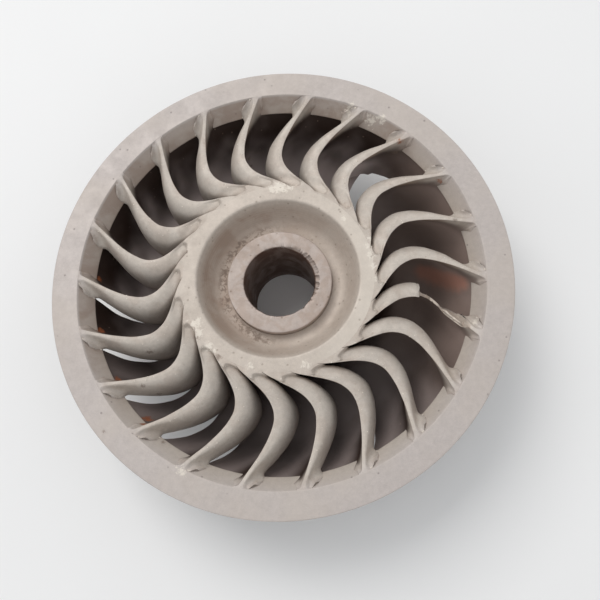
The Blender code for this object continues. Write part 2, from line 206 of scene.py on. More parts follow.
# Brown stains and flecks, in the same way
DARK_SPOTS = (
    (-55, 203, 65, 4), (-54, 196, 77, 3), (-28, -75, 36, 8), (-18, -80, 36, 6), (-41, -64, 36, 6),
    (-69, 40, 36, 7), (-75, 17, 36, 6), (-58, 59, 36, 5), (-70, -23, 36, 6), (156, 186, 24, 5),
    (-169, -142, 10, 4), (-167, -97, 21, 6), (230, 76, 3, 4), (-140, -211, 18, 4), (-155, -149, 38, 6),
    (81, 88, 0, 2), (-210, -200, 0, 3), (-72, -106, 0, 5), (-102, -81, 0, 5), (-123, 34, 0, 4),
)
# Wear of the bore's upper edge: bite and reach in mm, the side worn most in radians, and the jags of the bite
BORE_BITE = 13.0
BORE_REACH = 6.0
BORE_SIDE = 0.5
BORE_LEAST = 0.12
BORE_LEAN = 1.5
BORE_DROP = 0.35
BORE_JAGS = ((6.0, 0.0, 1.0), (17.0, 4.0, 0.7))

# Damage: pairs of station and level lost, along the broken edge and along the broken floor
LOST_EDGE = (
    (5.30, 0.0), (5.42, 2.6), (5.9, 3.4), (6.5, 3.1), (7.1, 3.5), (7.7, 3.0), (8.05, 2.4), (8.2, 0.3),
    (8.35, 0.0),
)
LOST_FLOOR = (
    (0.0, 9.0), (0.8, 8.5), (1.2, 5.6), (3.0, 5.3), (5.0, 5.5), (6.6, 5.6), (7.4, 6.3), (7.9, 9.0),
    (9.0, 9.0),
)
JAGS = ((4.1, 0.3, 1.0), (13.0, 7.7, 0.6))
TORN_WIDTH = 4.2
TORN_REACH = 2.6

# Weld beads and torn lumps: radius in mm, height of the lumps in mm, lumps to the metre, seed
BEAD = (0.9, 0.99, 320.0, 3.0)
LUMPS = (1.7, 4.5, 190.0, 5.0)
LUMPY_STATIONS = (6.95, 8.15)
BEAD_START = 0.0022

# Spatter: beads to the square metre, and the stations, levels and ring beyond the hub's rim that it lands on
SPATTER_DENSITY = 9000.0
SPATTER_STATIONS = slice(8, -14, 2)
SPATTER_LEVELS = 9
SPATTER_STEPS = 72
SPATTER_RING = 0.004

# Meshes: distance within which points are joined, and angles in degrees past which an edge stays sharp
WELD_REACH = 0.000002
TURNED_EDGE = 32.0
BUCKET_EDGE = 46.0
BEAD_EDGE = 60.0

# Stage: colour and strength of the sky, then place, aim, size, power and colour of the high window
SKY_COLOUR = (0.97, 0.985, 1.0, 1.0)
SKY = 0.70
WINDOW = ((-2.4, 3.0, 5.0), (0.0, 0.0, 0.1), 3.5, 175.0, (1.0, 0.985, 0.965))
FLOOR_RADIUS = 14.0
FLOOR_DROP = 0.0003

# Ranges that a film, a stain, a painted sheen or a painted shade changes over, then its amount at each end
# where that isn't none and all
RANGES = {
    "bucket_tone": (0.120, 0.150),
    "band_tone": (0.248, 0.272),
    "wall_shade_above": (-0.225, -0.060, 0.08, 1.0),
    "wall_shade_beside": (0.120, 0.235, 1.0, 0.30),
    "wall_top": (0.0004, 0.0035),
    "wall_foot": (0.017, 0.0235, 1.0, 0.0),
    "hollow": (0.478, 0.486, 1.0, 0.0),
    "tan_depth": (0.0, 0.008),
    "tan_along": (0.74, 0.90, 1.0, 0.10),
    "grime_and_shade_depth": (0.008, 0.024),
    "floor_level": (0.13, 0.33, 1.0, 0.0),
    "washed_sheen_along": (0.66, 0.94, 1.0, 0.0),
    "washed_sheen_below": (-0.160, -0.060, 0.85, 0.0),
    "washed_shade": (-0.110, 0.020, 0.50, 1.0),
    "right_start": (-0.13, -0.04),
    "right_end": (0.08, 0.17, 1.0, 0.0),
    "right_floor_along": (0.26, 0.50),
    "right_floor_depth": (0.010, 0.030),
    "back_grime_and_shade_depth": (0.040, 0.078),
    "cloud": (0.35, 0.65),
    "under_grime_and_shade_depth": (0.0215, 0.0245),
    "under_grime_and_shade_radius": (0.262, 0.285, 1.0, 0.0),
    "recess_radius": (0.104, 0.108, 1.0, 0.0),
    "recess_depth": (0.001, 0.020),
    "shade_side": (-0.070, 0.090, 0.35, 1.0),
    "scar_start": (0.0705, 0.0745),
    "scar_end": (0.080, 0.087, 1.0, 0.0),
    "scar_side": (-0.045, 0.020, 0.75, 0.0),
    "hub_side": (0.122, 0.1245),
    "side_depth": (0.002, 0.020),
    "hub_foot": (0.060, 0.100),
    "rim_radius": (0.104, 0.112),
    "rim_side": (0.020, 0.115, 0.0, 0.35),
    "bore": (0.0476, 0.0490, 1.0, 0.0),
    "pit": (0.16, 0.36, 1.0, 0.0),
    "patches": (0.28, 0.72),
    "scratch_line": (0.70, 0.78),
    "scratch_field": (0.52, 0.66),
    "spot": (0.2, 1.0, 1.0, 0.0),
    "mottle": (0.3, 0.7),
    "soot": (0.38, 0.55, 0.3, 0.0),
    "floor": (0.3, 0.7, 0.985, 1.0),
}


def length(name, description, default):
    """Property that holds a length in metres."""
    return FloatProperty(name=name, description=description, default=default, unit="LENGTH")


def shade(name, description, default):
    """Property that holds a colour."""
    return FloatVectorProperty(name=name, description=description, default=default, subtype="COLOR")


class WheelSizes(bpy.types.PropertyGroup):
    """Sizes of the wheel's finished surfaces."""

    opening_radius: length("Opening radius", "Radius of the band's opening at its face", 0.266)
    wall_low_radius: length("Wall foot radius", "Radius at the foot of the band's inner wall", 0.250)
    hub_radius: length("Hub radius", "Outer radius of the hub's rim", 0.125)
    rim_inner_radius: length("Rim inner radius", "Radius where the recess starts", 0.1067)
    recess_depth: length("Recess depth", "Depth of the hub's recess below the face", 0.036)
    sleeve_radius: length("Sleeve radius", "Outer radius of the sleeve", 0.070)
    sleeve_depth: length("Sleeve depth", "Depth of the sleeve's face below the wheel's face", 0.0235)
    bore_radius: length("Bore radius", "Radius of the sleeve's bore", 0.0473)
    back_fillet: length("Back fillet", "Radius where a bucket's back runs into the band", 0.0085)
    hollow_fillet: length("Hollow fillet", "Radius where a bucket's hollow runs into the band", 0.0036)
    edge_round: length("Edge round", "Rounding worn onto a bucket's upper edge", 0.0007)
    casting_wave: length("Casting wave", "Height of the waves left in the cast skin", 0.0003)
    spatter_size: length("Spatter size", "Radius of a weld spatter bead", 0.0007)
    turn_steps: IntProperty(
        name="Turning steps", description="Faces round a turned piece", default=396, min=24)


class WheelColours(bpy.types.PropertyGroup):
    """Colours of the wheel's finishes."""

    band: shade("Band", "Blasted steel of the band", (0.50, 0.45, 0.425))
    hub: shade("Hub", "Blasted steel of the hub", (0.54, 0.475, 0.415))
    bucket: shade("Bucket", "Blasted steel of the buckets", (0.53, 0.475, 0.42))
    # Also laid, with the recess stain, as painted shade on the recess's upper-left side.
    recess: shade("Recess", "Stained steel of the recess", (0.345, 0.255, 0.20))
    # Laid thickest on the upper side of the band's wall: partly painted shade on the side turned from the
    # window.
    wall: shade("Band wall", "Tan film on the band's wall", (0.36, 0.285, 0.24))
    # Near black: grime and painted shade, laid deep in the passages, where the band's wall curls under and on
    # the hub's lower sides.
    grime_and_shade: shade("Grime", "Dark film deep in the passages", (0.024, 0.0105, 0.0065))
    tan: shade("Tan film", "Brown film just under a bucket's edge", (0.31, 0.225, 0.17))
    # Painted sheen as well as washed metal: laid on the spoons' floors near the hub.
    sheen: shade("Washed steel", "Grey floors of the spoons, washed by the water", (0.58, 0.49, 0.47))
    # Brown of the floors in the right-hand passages, and near black towards the hub there.
    right_floor_brown: shade("Dried silt", "Brown floors of the spoons on one side", (0.275, 0.208, 0.182))
    right_floor_dark: shade("Burnt silt", "Dark brown of those floors near the hub", (0.048, 0.024, 0.015))
    oval: shade("Oval film", "Red-brown film left in one hollow", (0.50, 0.25, 0.185))
    stain: shade("Stain", "Brown soot and oil stains", (0.17, 0.12, 0.09))
    rubbed: shade("Rubbed metal", "Pale metal where the wheel is rubbed or dabbed", (0.74, 0.68, 0.60))
    rust: shade("Rust", "Fresh rust", (0.30, 0.085, 0.025))
    scratch: shade("Scratches", "Bright metal in the band's fine scratches", (0.68, 0.63, 0.61))
    band_pit: shade("Band pits", "Dirt in the band's pits", (0.18, 0.15, 0.14))
    turning: shade("Turning marks", "Bright crests of the turning marks in the recess", (0.62, 0.56, 0.50))
    hub_pit: shade("Hub pits", "Dirt in the hub's pits", (0.20, 0.15, 0.11))
    bore: shade("Bore", "Brown film in the bore", (0.12, 0.065, 0.045))
    sleeve_pit: shade("Sleeve pits", "Dirt in the sleeve's pits", (0.16, 0.11, 0.08))
    floor: shade("Floor", "Pale floor", (0.86, 0.86, 0.86))


def sizes():
    """The wheel's sizes."""
    return bpy.context.scene.wheel_sizes


def colours():
    """The wheel's colours."""
    return bpy.context.scene.wheel_colours


def depth_z(depth):
    """Height of a depth below the face, in metres."""
    return FACE_Z - depth


def once(store, makers, name):
    """A material or node tree by name, made the first time it is asked for."""
    if name not in store:
        makers[name](name)
    return store[name]


# Node building

def feed(tree, socket, value):
    """Link an input to another node's output, or set it to a plain value."""
    if isinstance(value, bpy.types.NodeSocket):
        tree.links.new(value, socket)
    elif value is not None:
        socket.default_value = value


def place_node(tree, kind, inputs=None, **settings):
    """Add a node, set its properties, then set or link its inputs."""
    node = tree.nodes.new(kind)
    for key, value in settings.items():
        setattr(node, key, value)
    for key, value in (inputs or {}).items():
        feed(tree, node.inputs[key], value)
    return node


def result_of(tree, kind, inputs=None, **settings):
    """First output of a new node."""
    return place_node(tree, kind, inputs, **settings).outputs[0]


def math_node(tree, operation, first, second=0.0, third=0.0, clamp=False):
    """Result of a math node."""
    values = {0: first, 1: second, 2: third}
    return result_of(tree, "ShaderNodeMath", values, operation=operation, use_clamp=clamp)


def product(tree, first, *others):
    """Product of two or more values."""
    for other in others:
        first = math_node(tree, "MULTIPLY", first, other)
    return first


def sum_with(tree, value, factor, added):
    """A value times a factor, and another value added."""
    return math_node(tree, "MULTIPLY_ADD", value, factor, added)


def axes_of(tree, vector):
    """X, Y and Z of a vector."""
    return place_node(tree, "ShaderNodeSeparateXYZ", {0: vector}).outputs


def ramp_between(tree, value, low, high, to_low=0.0, to_high=1.0):
    """Smooth step of a value from low to high."""
    values = {0: value, 1: low, 2: high, 3: to_low, 4: to_high}
    return result_of(tree, "ShaderNodeMapRange", values, interpolation_type="SMOOTHSTEP")


def ranged(tree, value, name):
    """Smooth step of a value over one of the named ranges."""
    return ramp_between(tree, value, *RANGES[name])


def mixed(tree, factor, first, second, blend="MIX"):
    """Mix of two colours; a plain colour is given as a tuple."""
    node = place_node(tree, "ShaderNodeMix", {0: factor}, data_type="RGBA", blend_type=blend)
    for index, value in ((6, first), (7, second)):
        plain = not isinstance(value, bpy.types.NodeSocket)
        feed(tree, node.inputs[index], (*value[:3], 1.0) if plain else value)
    return node.outputs[2]


def layered(tree, colour, *layers):
    """Colour with other colours laid over it in turn, each by its mask."""
    for mask, over in layers:
        colour = mixed(tree, mask, colour, over)
    return colour


def noise_value(tree, vector, scale, detail=3.0, roughness=0.5, distortion=0.0):
    """Grey noise over a vector."""
    node = place_node(tree, "ShaderNodeTexNoise", {
        "Vector": vector, "Scale": scale, "Detail": detail, "Roughness": roughness, "Distortion": distortion})
    return node.outputs["Fac"]


def new_group(name, inputs, outputs):
    """Shader node group with a vector input, named value inputs and named outputs."""
    tree = bpy.data.node_groups.new(name, "ShaderNodeTree")
    for title, value in inputs.items():
        kind = "Float" if isinstance(value, float) else "Vector"
        socket = tree.interface.new_socket(title, in_out="INPUT", socket_type="NodeSocket" + kind)
        if value is not None:
            socket.default_value = value
    for title in outputs:
        kind = "Vector" if title == "Position" else "Float"
        tree.interface.new_socket(title, in_out="OUTPUT", socket_type="NodeSocket" + kind)
    return tree, tree.nodes.new("NodeGroupInput").outputs, tree.nodes.new("NodeGroupOutput")


def give(tree, result, values):
    """Link values to a group's outputs by name."""
    for title, value in values.items():
        tree.links.new(value, result.inputs[title])


def wheel_place_group(name):
    """Radius, depth under the face, turn about the axis, and distance from the band's wall."""
    tree, given, result = new_group(
        name, {"Face Height": FACE_Z}, ("Position", "Radius", "Depth", "Turn", "Wall"))
    size = sizes()
    position = place_node(tree, "ShaderNodeTexCoord").outputs["Object"]
    x, y, z = axes_of(tree, position)
    radius = math_node(tree, "SQRT", math_node(tree, "ADD", product(tree, x, x), product(tree, y, y)))
    depth = math_node(tree, "SUBTRACT", given["Face Height"], z)
    share = math_node(tree, "DIVIDE", depth, WALL_DEPTH, clamp=True)
    wall = sum_with(tree, share, size.wall_low_radius - size.opening_radius, size.opening_radius)
    give(tree, result, {
        "Position": position,
        "Radius": radius,
        "Depth": depth,
        "Turn": math_node(tree, "DIVIDE", math_node(tree, "ARCTAN2", y, x), math.tau),
        "Wall": math_node(tree, "SUBTRACT", wall, radius),
    })


def blasted_grain_group(name):
    """Grit-blasted skin: fine grain, soft mottle and scattered pits."""
    tree, given, result = new_group(
        name,
        {"Vector": None, "Grain": 900.0, "Speckle": 170.0, "Mottle": 38.0, "Pits": 230.0, "Pit Cover": 0.03},
        ("Tone", "Mottle", "Pit", "Height"))
    vector = given["Vector"]
    grain = noise_value(tree, vector, given["Grain"], 2.0, 0.6)
    mottle = noise_value(tree, vector, given["Mottle"], 5.0, 0.62, 0.4)
    speckle = noise_value(tree, vector, given["Speckle"], 4.0, 0.7)
    cells = place_node(tree, "ShaderNodeTexVoronoi", {
        "Vector": vector, "Scale": given["Pits"], "Randomness": 1.0}).outputs
    picked = result_of(tree, "ShaderNodeSeparateColor", {0: cells["Color"]})
    chosen = math_node(tree, "LESS_THAN", picked, given["Pit Cover"])
    pit = product(tree, chosen, ranged(tree, cells["Distance"], "pit"))
    waves = sum_with(tree, grain, 0.35, product(tree, mottle, 0.9))
    give(tree, result, {
        "Tone": sum_with(tree, grain, 0.26, sum_with(tree, speckle, 0.42, 0.66)),
        "Mottle": mottle,
        "Pit": pit,
        "Height": math_node(tree, "SUBTRACT", waves, product(tree, pit, 1.2)),
    })


def stain_group(name):
    """Patchy stain whose cover grows with a driving amount."""
    tree, given, result = new_group(
        name, {"Vector": None, "Scale": 30.0, "Amount": 0.5, "Softness": 0.15}, ("Mask",))
    patches = noise_value(tree, given["Vector"], given["Scale"], 6.0, 0.6, 0.6)
    edge = math_node(tree, "SUBTRACT", 1.0, given["Amount"])
    low = math_node(tree, "SUBTRACT", edge, given["Softness"])
    high = math_node(tree, "ADD", edge, given["Softness"])
    give(tree, result, {"Mask": ramp_between(tree, ranged(tree, patches, "patches"), low, high)})


def scratch_group(name):
    """Fine scattered scratches along one turned direction."""
    tree, given, result = new_group(name, {"Vector": None, "Angle": 0.0, "Cover": 0.5}, ("Mask",))
    turned = result_of(tree, "ShaderNodeVectorRotate", {
        "Vector": given["Vector"], "Angle": given["Angle"]}, rotation_type="Z_AXIS")
    stretched = result_of(tree, "ShaderNodeMapping", {"Vector": turned, "Scale": (22.0, 700.0, 60.0)})
    lines = ranged(tree, noise_value(tree, stretched, 1.0, 1.0, 0.4), "scratch_line")
    cover = ranged(tree, noise_value(tree, given["Vector"], 26.0, 2.0), "scratch_field")
    give(tree, result, {"Mask": product(tree, lines, product(tree, cover, given["Cover"]))})


def spot_group(name):
    """Soft ragged spot round a centre."""
    tree, given, result = new_group(
        name, {"Vector": None, "Centre": None, "Size": 0.01, "Rough": 0.5}, ("Mask",))
    reach = place_node(tree, "ShaderNodeVectorMath", {
        0: given["Vector"], 1: given["Centre"]}, operation="DISTANCE").outputs["Value"]
    share = math_node(tree, "DIVIDE", reach, given["Size"])
    ragged_edge = noise_value(tree, given["Vector"], math_node(tree, "DIVIDE", 1.7, given["Size"]), 4.0, 0.65)
    bent = sum_with(tree, math_node(tree, "SUBTRACT", ragged_edge, 0.5), given["Rough"], share)
    give(tree, result, {"Mask": ranged(tree, bent, "spot")})


SHARED_EFFECTS = {
    "wheel_place": wheel_place_group,
    "blasted_grain": blasted_grain_group,
    "patchy_stain": stain_group,
    "fine_scratches": scratch_group,
    "ragged_spot": spot_group,
}


def use_group(tree, name, inputs=None):
    """Place a shared effect in a material and give its outputs; the effect is made the first time."""
    effect = once(bpy.data.node_groups, SHARED_EFFECTS, name)
    return place_node(tree, "ShaderNodeGroup", inputs, node_tree=effect).outputs


def stain_mask(tree, place, scale, amount, softness):
    """Mask of a patchy stain."""
    return use_group(tree, "patchy_stain", {
        "Vector": place["Position"], "Scale": scale, "Amount": amount, "Softness": softness})["Mask"]


def new_material(name, roughness, metallic):
    """Material with a Principled shader."""
    material = bpy.data.materials.new(name)
    material.use_nodes = True
    shader = material.node_tree.nodes["Principled BSDF"]
    shader.inputs["Roughness"].default_value = roughness
    shader.inputs["Metallic"].default_value = metallic
    return material.node_tree, shader


def metal(name, roughness, metallic, values=None):
    """Start a metal finish: its tree, its shader, the place on the wheel and the blasted grain."""
    tree, shader = new_material(name, roughness, metallic)
    place = use_group(tree, "wheel_place")
    grain = use_group(tree, "blasted_grain", {"Vector": place["Position"], **(values or {})})
    return tree, shader, place, grain


def end_metal(tree, shader, grain, colour, bump, rough=None, height=None):
    """Link a metal's colour, its bump by distance and strength, and a roughness that follows the mottle."""
    tree.links.new(colour, shader.inputs["Base Color"])
    if rough:
        mottled = ramp_between(tree, grain["Mottle"], *RANGES["mottle"], *rough)
        tree.links.new(mottled, shader.inputs["Roughness"])
    raised = place_node(tree, "ShaderNodeBump", {
        "Height": height or grain["Height"], "Distance": bump[0], "Strength": bump[1]})
    tree.links.new(raised.outputs["Normal"], shader.inputs["Normal"])


def toned(tree, colour, tone):
    """Colour made lighter or darker by a grey factor."""
    grey = result_of(tree, "ShaderNodeCombineColor", {0: tone, 1: tone, 2: tone})
    return mixed(tree, 1.0, colour, grey, "MULTIPLY")


def steel_tone(tree, place):
    """Blasted steel, warm at the hub, cream on the buckets and lilac grey on the band."""
    shades = colours()
    return layered(
        tree, shades.hub, (ranged(tree, place["Radius"], "bucket_tone"), shades.bucket),
        (ranged(tree, place["Radius"], "band_tone"), shades.band))


def wall_film_and_shade(tree, place, reach):
    """How much of the tan film of the band's inner wall lies at a point, out to a reach from the wall. It is
    thick on the wall's upper part and thin towards the bottom and the far right: painted shade on the side of
    the wall turned from the window, over the real film.
    """
    x, y = axes_of(tree, place["Position"])[:2]
    patchy = sum_with(tree, stain_mask(tree, place, 22.0, 0.5, 0.4), 0.5, 0.5)
    return product(
        tree, ramp_between(tree, place["Wall"], 0.0, reach, 1.0, 0.0), ranged(tree, y, "wall_shade_above"),
        ranged(tree, x, "wall_shade_beside"), ranged(tree, place["Depth"], "wall_top"), patchy)


def spotted(tree, place, colour, spots, spot_colour, amount, rough):
    """Colour with ragged spots laid over it at the places of a table."""
    cover = None
    for x, y, depth, size in spots:
        spot = use_group(tree, "ragged_spot", {
            "Vector": place["Position"], "Centre": (x * MM, y * MM, depth_z(depth * MM)), "Size": size * MM,
            "Rough": rough})["Mask"]
        cover = math_node(tree, "MAXIMUM", cover, spot) if cover else spot
    return mixed(tree, product(tree, cover, amount), colour, spot_colour)


def marked(tree, place, colour):
    """Colour with the wheel's dark stains and pale rubbed patches."""
    shades = colours()
    stained = spotted(tree, place, colour, DARK_SPOTS, shades.stain, 0.6, 3.5)
    return spotted(tree, place, stained, BRIGHT_SPOTS, shades.rubbed, 0.8, 4.5)


def bucket_finish(name):
    """Cast and blasted bucket, pale above, with brown-black grime and painted shade deep in the passage and a
    painted sheen on the floors near the hub.
    """
    shades = colours()
    tree, shader, place, grain = metal(name, 0.6, 0.2)
    position = place["Position"]
    warp = math_node(tree, "SUBTRACT", noise_value(tree, position, 26.0, 1.5), 0.5)
    section = result_of(tree, "ShaderNodeUVMap", uv_map="section")
    along, level = axes_of(tree, section)[:2]
    across = axes_of(tree, position)[1]
    depth = sum_with(tree, warp, 0.016, place["Depth"])
    hollow = ranged(tree, level, "hollow")
    soiled = product(tree, stain_mask(tree, place, 34.0, 0.42, 0.3), 0.22)
    base = toned(tree, mixed(tree, soiled, steel_tone(tree, place), shades.recess), grain["Tone"])
    tanned = product(tree, hollow, ranged(tree, depth, "tan_depth"), ranged(tree, along, "tan_along"))
    # Grime and painted shade, near black, deeper down in the hollow.
    steep_grime_and_shade = product(tree, hollow, ranged(tree, depth, "grime_and_shade_depth"))
    # Painted sheen as well as washed metal on the floors near the hub; in the lower passages it reaches out
    # to the band, at half strength at the bottom.
    inner = ranged(tree, sum_with(tree, warp, 0.2, along), "washed_sheen_along")
    inner = math_node(tree, "MAXIMUM", inner, ranged(tree, across, "washed_sheen_below"))
    washed = product(
        tree, hollow, ranged(tree, sum_with(tree, warp, 0.10, level), "floor_level"),
        product(tree, inner, ranged(tree, across, "washed_shade")))
    # Brown floors in the right-hand passages, near black towards the hub.
    right_floor_brown = ranged(tree, sum_with(tree, warp, 0.15, along), "right_floor_along")
    silt = mixed(tree, right_floor_brown, shades.right_floor_dark, shades.right_floor_brown)
    turn = place["Turn"]
    right = product(tree, ranged(tree, turn, "right_start"), ranged(tree, turn, "right_end"))
    right_floor_tint = product(tree, hollow, right, ranged(tree, depth, "right_floor_depth"))
    # Grime and painted shade on the back, deep in the passage.
    back = product(tree, math_node(tree, "SUBTRACT", 1.0, hollow), ranged(tree, depth, "back_grime_and_shade_depth"))
    # The wall's tan film and its painted shade, carried onto the buckets where they meet the wall.
    filmed = product(
        tree, wall_film_and_shade(tree, place, sum_with(tree, hollow, 0.0075, 0.0015)),
        ranged(tree, place["Depth"], "wall_foot"))
    colour = layered(
        tree, base, (tanned, shades.tan), (steep_grime_and_shade, shades.grime_and_shade), (washed, shades.sheen), (right_floor_tint, silt),
        (back, shades.grime_and_shade), (filmed, shades.wall))
    colour = spotted(tree, place, colour, FILM_SPOTS, shades.oval, 0.80, 0.4)
    colour = spotted(tree, place, colour, RUST_SPOTS, shades.rust, 0.8, 2.5)
    colour = layered(tree, marked(tree, place, colour), (product(tree, grain["Pit"], 0.35), shades.recess))
    end_metal(tree, shader, grain, colour, (0.0005, 0.35), (0.5, 0.7))


def band_finish(name):
    """Blasted band with scratches and pits on its face, a tan film with painted shade on its inner wall, and
    grime and painted shade where that wall curls under.
    """
    shades = colours()
    tree, shader, place, grain = metal(name, 0.6, 0.2, {"Pits": 190.0, "Pit Cover": 0.02})
    cloudy = ranged(tree, noise_value(tree, place["Position"], 11.0, 3.0), "cloud")
    scratch = use_group(tree, "fine_scratches", {
        "Vector": place["Position"], "Angle": 0.6, "Cover": 0.4})["Mask"]
    # Grime and painted shade where the band's wall curls under at its foot.
    under = product(
        tree, ranged(tree, place["Depth"], "under_grime_and_shade_depth"), ranged(tree, place["Radius"], "under_grime_and_shade_radius"))
    # The tan wall film here is partly painted shade on the side of the wall turned from the window.
    colour = layered(
        tree, toned(tree, steel_tone(tree, place), grain["Tone"]), (product(tree, cloudy, 0.35), shades.hub),
        (wall_film_and_shade(tree, place, 0.0075), shades.wall), (scratch, shades.scratch),
        (product(tree, grain["Pit"], 0.55), shades.band_pit))
    colour = layered(tree, marked(tree, place, colour), (product(tree, under, 0.8), shades.grime_and_shade))
    end_metal(tree, shader, grain, colour, (0.0005, 0.3), (0.52, 0.7))


def hub_finish(name):
    """Warm blasted hub, stained and turned in its recess, with painted shade on the recess's upper-left side
    and grime and painted shade on its sides under the buckets.
    """
    shades = colours()
    tree, shader, place, grain = metal(name, 0.6, 0.25, {"Pits": 190.0, "Pit Cover": 0.10})
    radius, depth = place["Radius"], place["Depth"]
    x, y = axes_of(tree, place["Position"])[:2]
    inside = ranged(tree, radius, "recess_radius")
    # Recess stain, thickest deep down and on the recess's upper-left side: painted shade on the side turned
    # from the window, over real stain.
    shade_lean = math_node(tree, "SUBTRACT", product(tree, y, 0.30), product(tree, x, 0.90))
    film = product(
        tree, inside, ranged(tree, depth, "recess_depth"),
        sum_with(tree, stain_mask(tree, place, 28.0, 0.5, 0.35), 0.35, 0.6), ranged(tree, shade_lean, "shade_side"))
    scarred = product(
        tree, ranged(tree, radius, "scar_start"), ranged(tree, radius, "scar_end"),
        stain_mask(tree, place, 190.0, 0.45, 0.12), ranged(tree, x, "scar_side"))
    rings = place_node(tree, "ShaderNodeTexWave", {
        "Vector": result_of(tree, "ShaderNodeCombineXYZ", {0: radius}),
        "Scale": 180.0, "Distortion": 1.5, "Detail": 2.0}, wave_type="BANDS", bands_direction="X")
    marks = product(tree, rings.outputs["Fac"], inside)
    # Grime and painted shade on the hub's outer side under the buckets and on its lower part.
    outside = product(tree, ranged(tree, radius, "hub_side"), ranged(tree, depth, "side_depth"))
    dirt_and_shade = product(tree, math_node(tree, "MAXIMUM", outside, ranged(tree, depth, "hub_foot")), 0.9)
    # Paler towards the right side of the rim, except where it is darker.
    pale_right_rim = product(
        tree, ranged(tree, radius, "rim_radius"), ranged(tree, x, "rim_side"),
        math_node(tree, "SUBTRACT", 1.0, dirt_and_shade))
    colour = layered(
        tree, toned(tree, steel_tone(tree, place), grain["Tone"]), (film, shades.recess),
        (scarred, shades.stain), (product(tree, marks, 0.10), shades.turning), (dirt_and_shade, shades.grime_and_shade),
        (pale_right_rim, shades.rubbed))
    colour = layered(tree, marked(tree, place, colour), (product(tree, grain["Pit"], 0.4), shades.hub_pit))
    height = sum_with(tree, marks, 0.25, grain["Height"])
    end_metal(tree, shader, grain, colour, (0.0005, 0.35), (0.5, 0.68), height)


def sleeve_finish(name):
    """Turned sleeve, worn on its face and brown in the bore."""
    shades = colours()
    tree, shader, place, grain = metal(name, 0.5, 0.25, {"Pits": 200.0, "Pit Cover": 0.10})
    worn = sum_with(tree, stain_mask(tree, place, 60.0, 0.5, 0.3), 0.25, 0.42)
    stain = sum_with(tree, stain_mask(tree, place, 40.0, 0.6, 0.3), 0.3, 0.7)
    colour = layered(
        tree, toned(tree, mixed(tree, worn, shades.band, shades.recess), grain["Tone"]),
        (product(tree, ranged(tree, place["Radius"], "bore"), stain), shades.bore),
        (product(tree, grain["Pit"], 0.5), shades.sleeve_pit))
    end_metal(tree, shader, grain, colour, (0.0004, 0.3), (0.42, 0.62))


def weld_finish(name):
    """Pale weld metal, speckled with soot."""
    shades = colours()
    tree, shader, _, grain = metal(name, 0.5, 0.35, {"Mottle": 160.0})
    sooty = ranged(tree, grain["Mottle"], "soot")
    colour = toned(tree, mixed(tree, sooty, shades.rubbed, shades.stain), grain["Tone"])
    end_metal(tree, shader, grain, colour, (0.0006, 0.5))


def torn_finish(name):
    """Bright grey torn metal where a piece broke off."""
    shades = colours()
    tree, shader, _, grain = metal(name, 0.55, 0.35, {"Grain": 520.0, "Pit Cover": 0.3})
    colour = toned(tree, mixed(tree, grain["Mottle"], shades.recess, shades.rubbed), grain["Tone"])
    end_metal(tree, shader, grain, colour, (0.0012, 0.7))


def floor_finish(name):
    """Plain pale floor."""
    tree, shader = new_material(name, 0.9, 0.0)
    position = place_node(tree, "ShaderNodeTexCoord").outputs["Object"]
    cloud = ranged(tree, noise_value(tree, position, 2.0, 2.0), "floor")
    tree.links.new(toned(tree, colours().floor, cloud), shader.inputs["Base Color"])


FINISHES = {
    "bucket_finish": bucket_finish,
    "band_finish": band_finish,
    "hub_finish": hub_finish,
    "sleeve_finish": sleeve_finish,
    "weld_finish": weld_finish,
    "torn_finish": torn_finish,
    "floor_finish": floor_finish,
}


def finish_of(name):
    """A finish by name."""
    return once(bpy.data.materials, FINISHES, name)


# Geometry node trees

def new_tree(name, inputs):
    """Geometry tree with named inputs; gives the tree, its inputs and its output node."""
    tree = bpy.data.node_groups.new(name, "GeometryNodeTree")
    tree.interface.new_socket("Geometry", in_out="INPUT", socket_type="NodeSocketGeometry")
    tree.interface.new_socket("Geometry", in_out="OUTPUT", socket_type="NodeSocketGeometry")
    for title, kind, value in inputs:
        socket = tree.interface.new_socket(title, in_out="INPUT", socket_type="NodeSocket" + kind)
        if value is not None:
            socket.default_value = value
    return tree, tree.nodes.new("NodeGroupInput").outputs, tree.nodes.new("NodeGroupOutput")


def end_tree(tree, geometry, given, result):
    """Realize, give the material and end the tree."""
    real = result_of(tree, "GeometryNodeRealizeInstances", {0: geometry})
    painted = place_node(tree, "GeometryNodeSetMaterial", {"Geometry": real, "Material": given["Finish"]})
    tree.links.new(painted.outputs[0], result.inputs[0])


def rough_skin(tree, geometry, given):
    """Move the points of a mesh in and out along their normals by a seeded noise."""
    position = result_of(tree, "GeometryNodeInputPosition")
    waves = place_node(tree, "ShaderNodeTexNoise", {
        "Vector": position, "W": given["Seed"], "Scale": given["Wave Count"], "Detail": 3.0,
    }, noise_dimensions="4D").outputs["Fac"]
    centred = product(tree, math_node(tree, "SUBTRACT", waves, 0.5), given["Wave Height"])
    normal = result_of(tree, "GeometryNodeInputNormal")
    push = result_of(tree, "ShaderNodeVectorMath", {0: normal, "Scale": centred}, operation="SCALE")
    return result_of(tree, "GeometryNodeSetPosition", {"Geometry": geometry, "Offset": push})


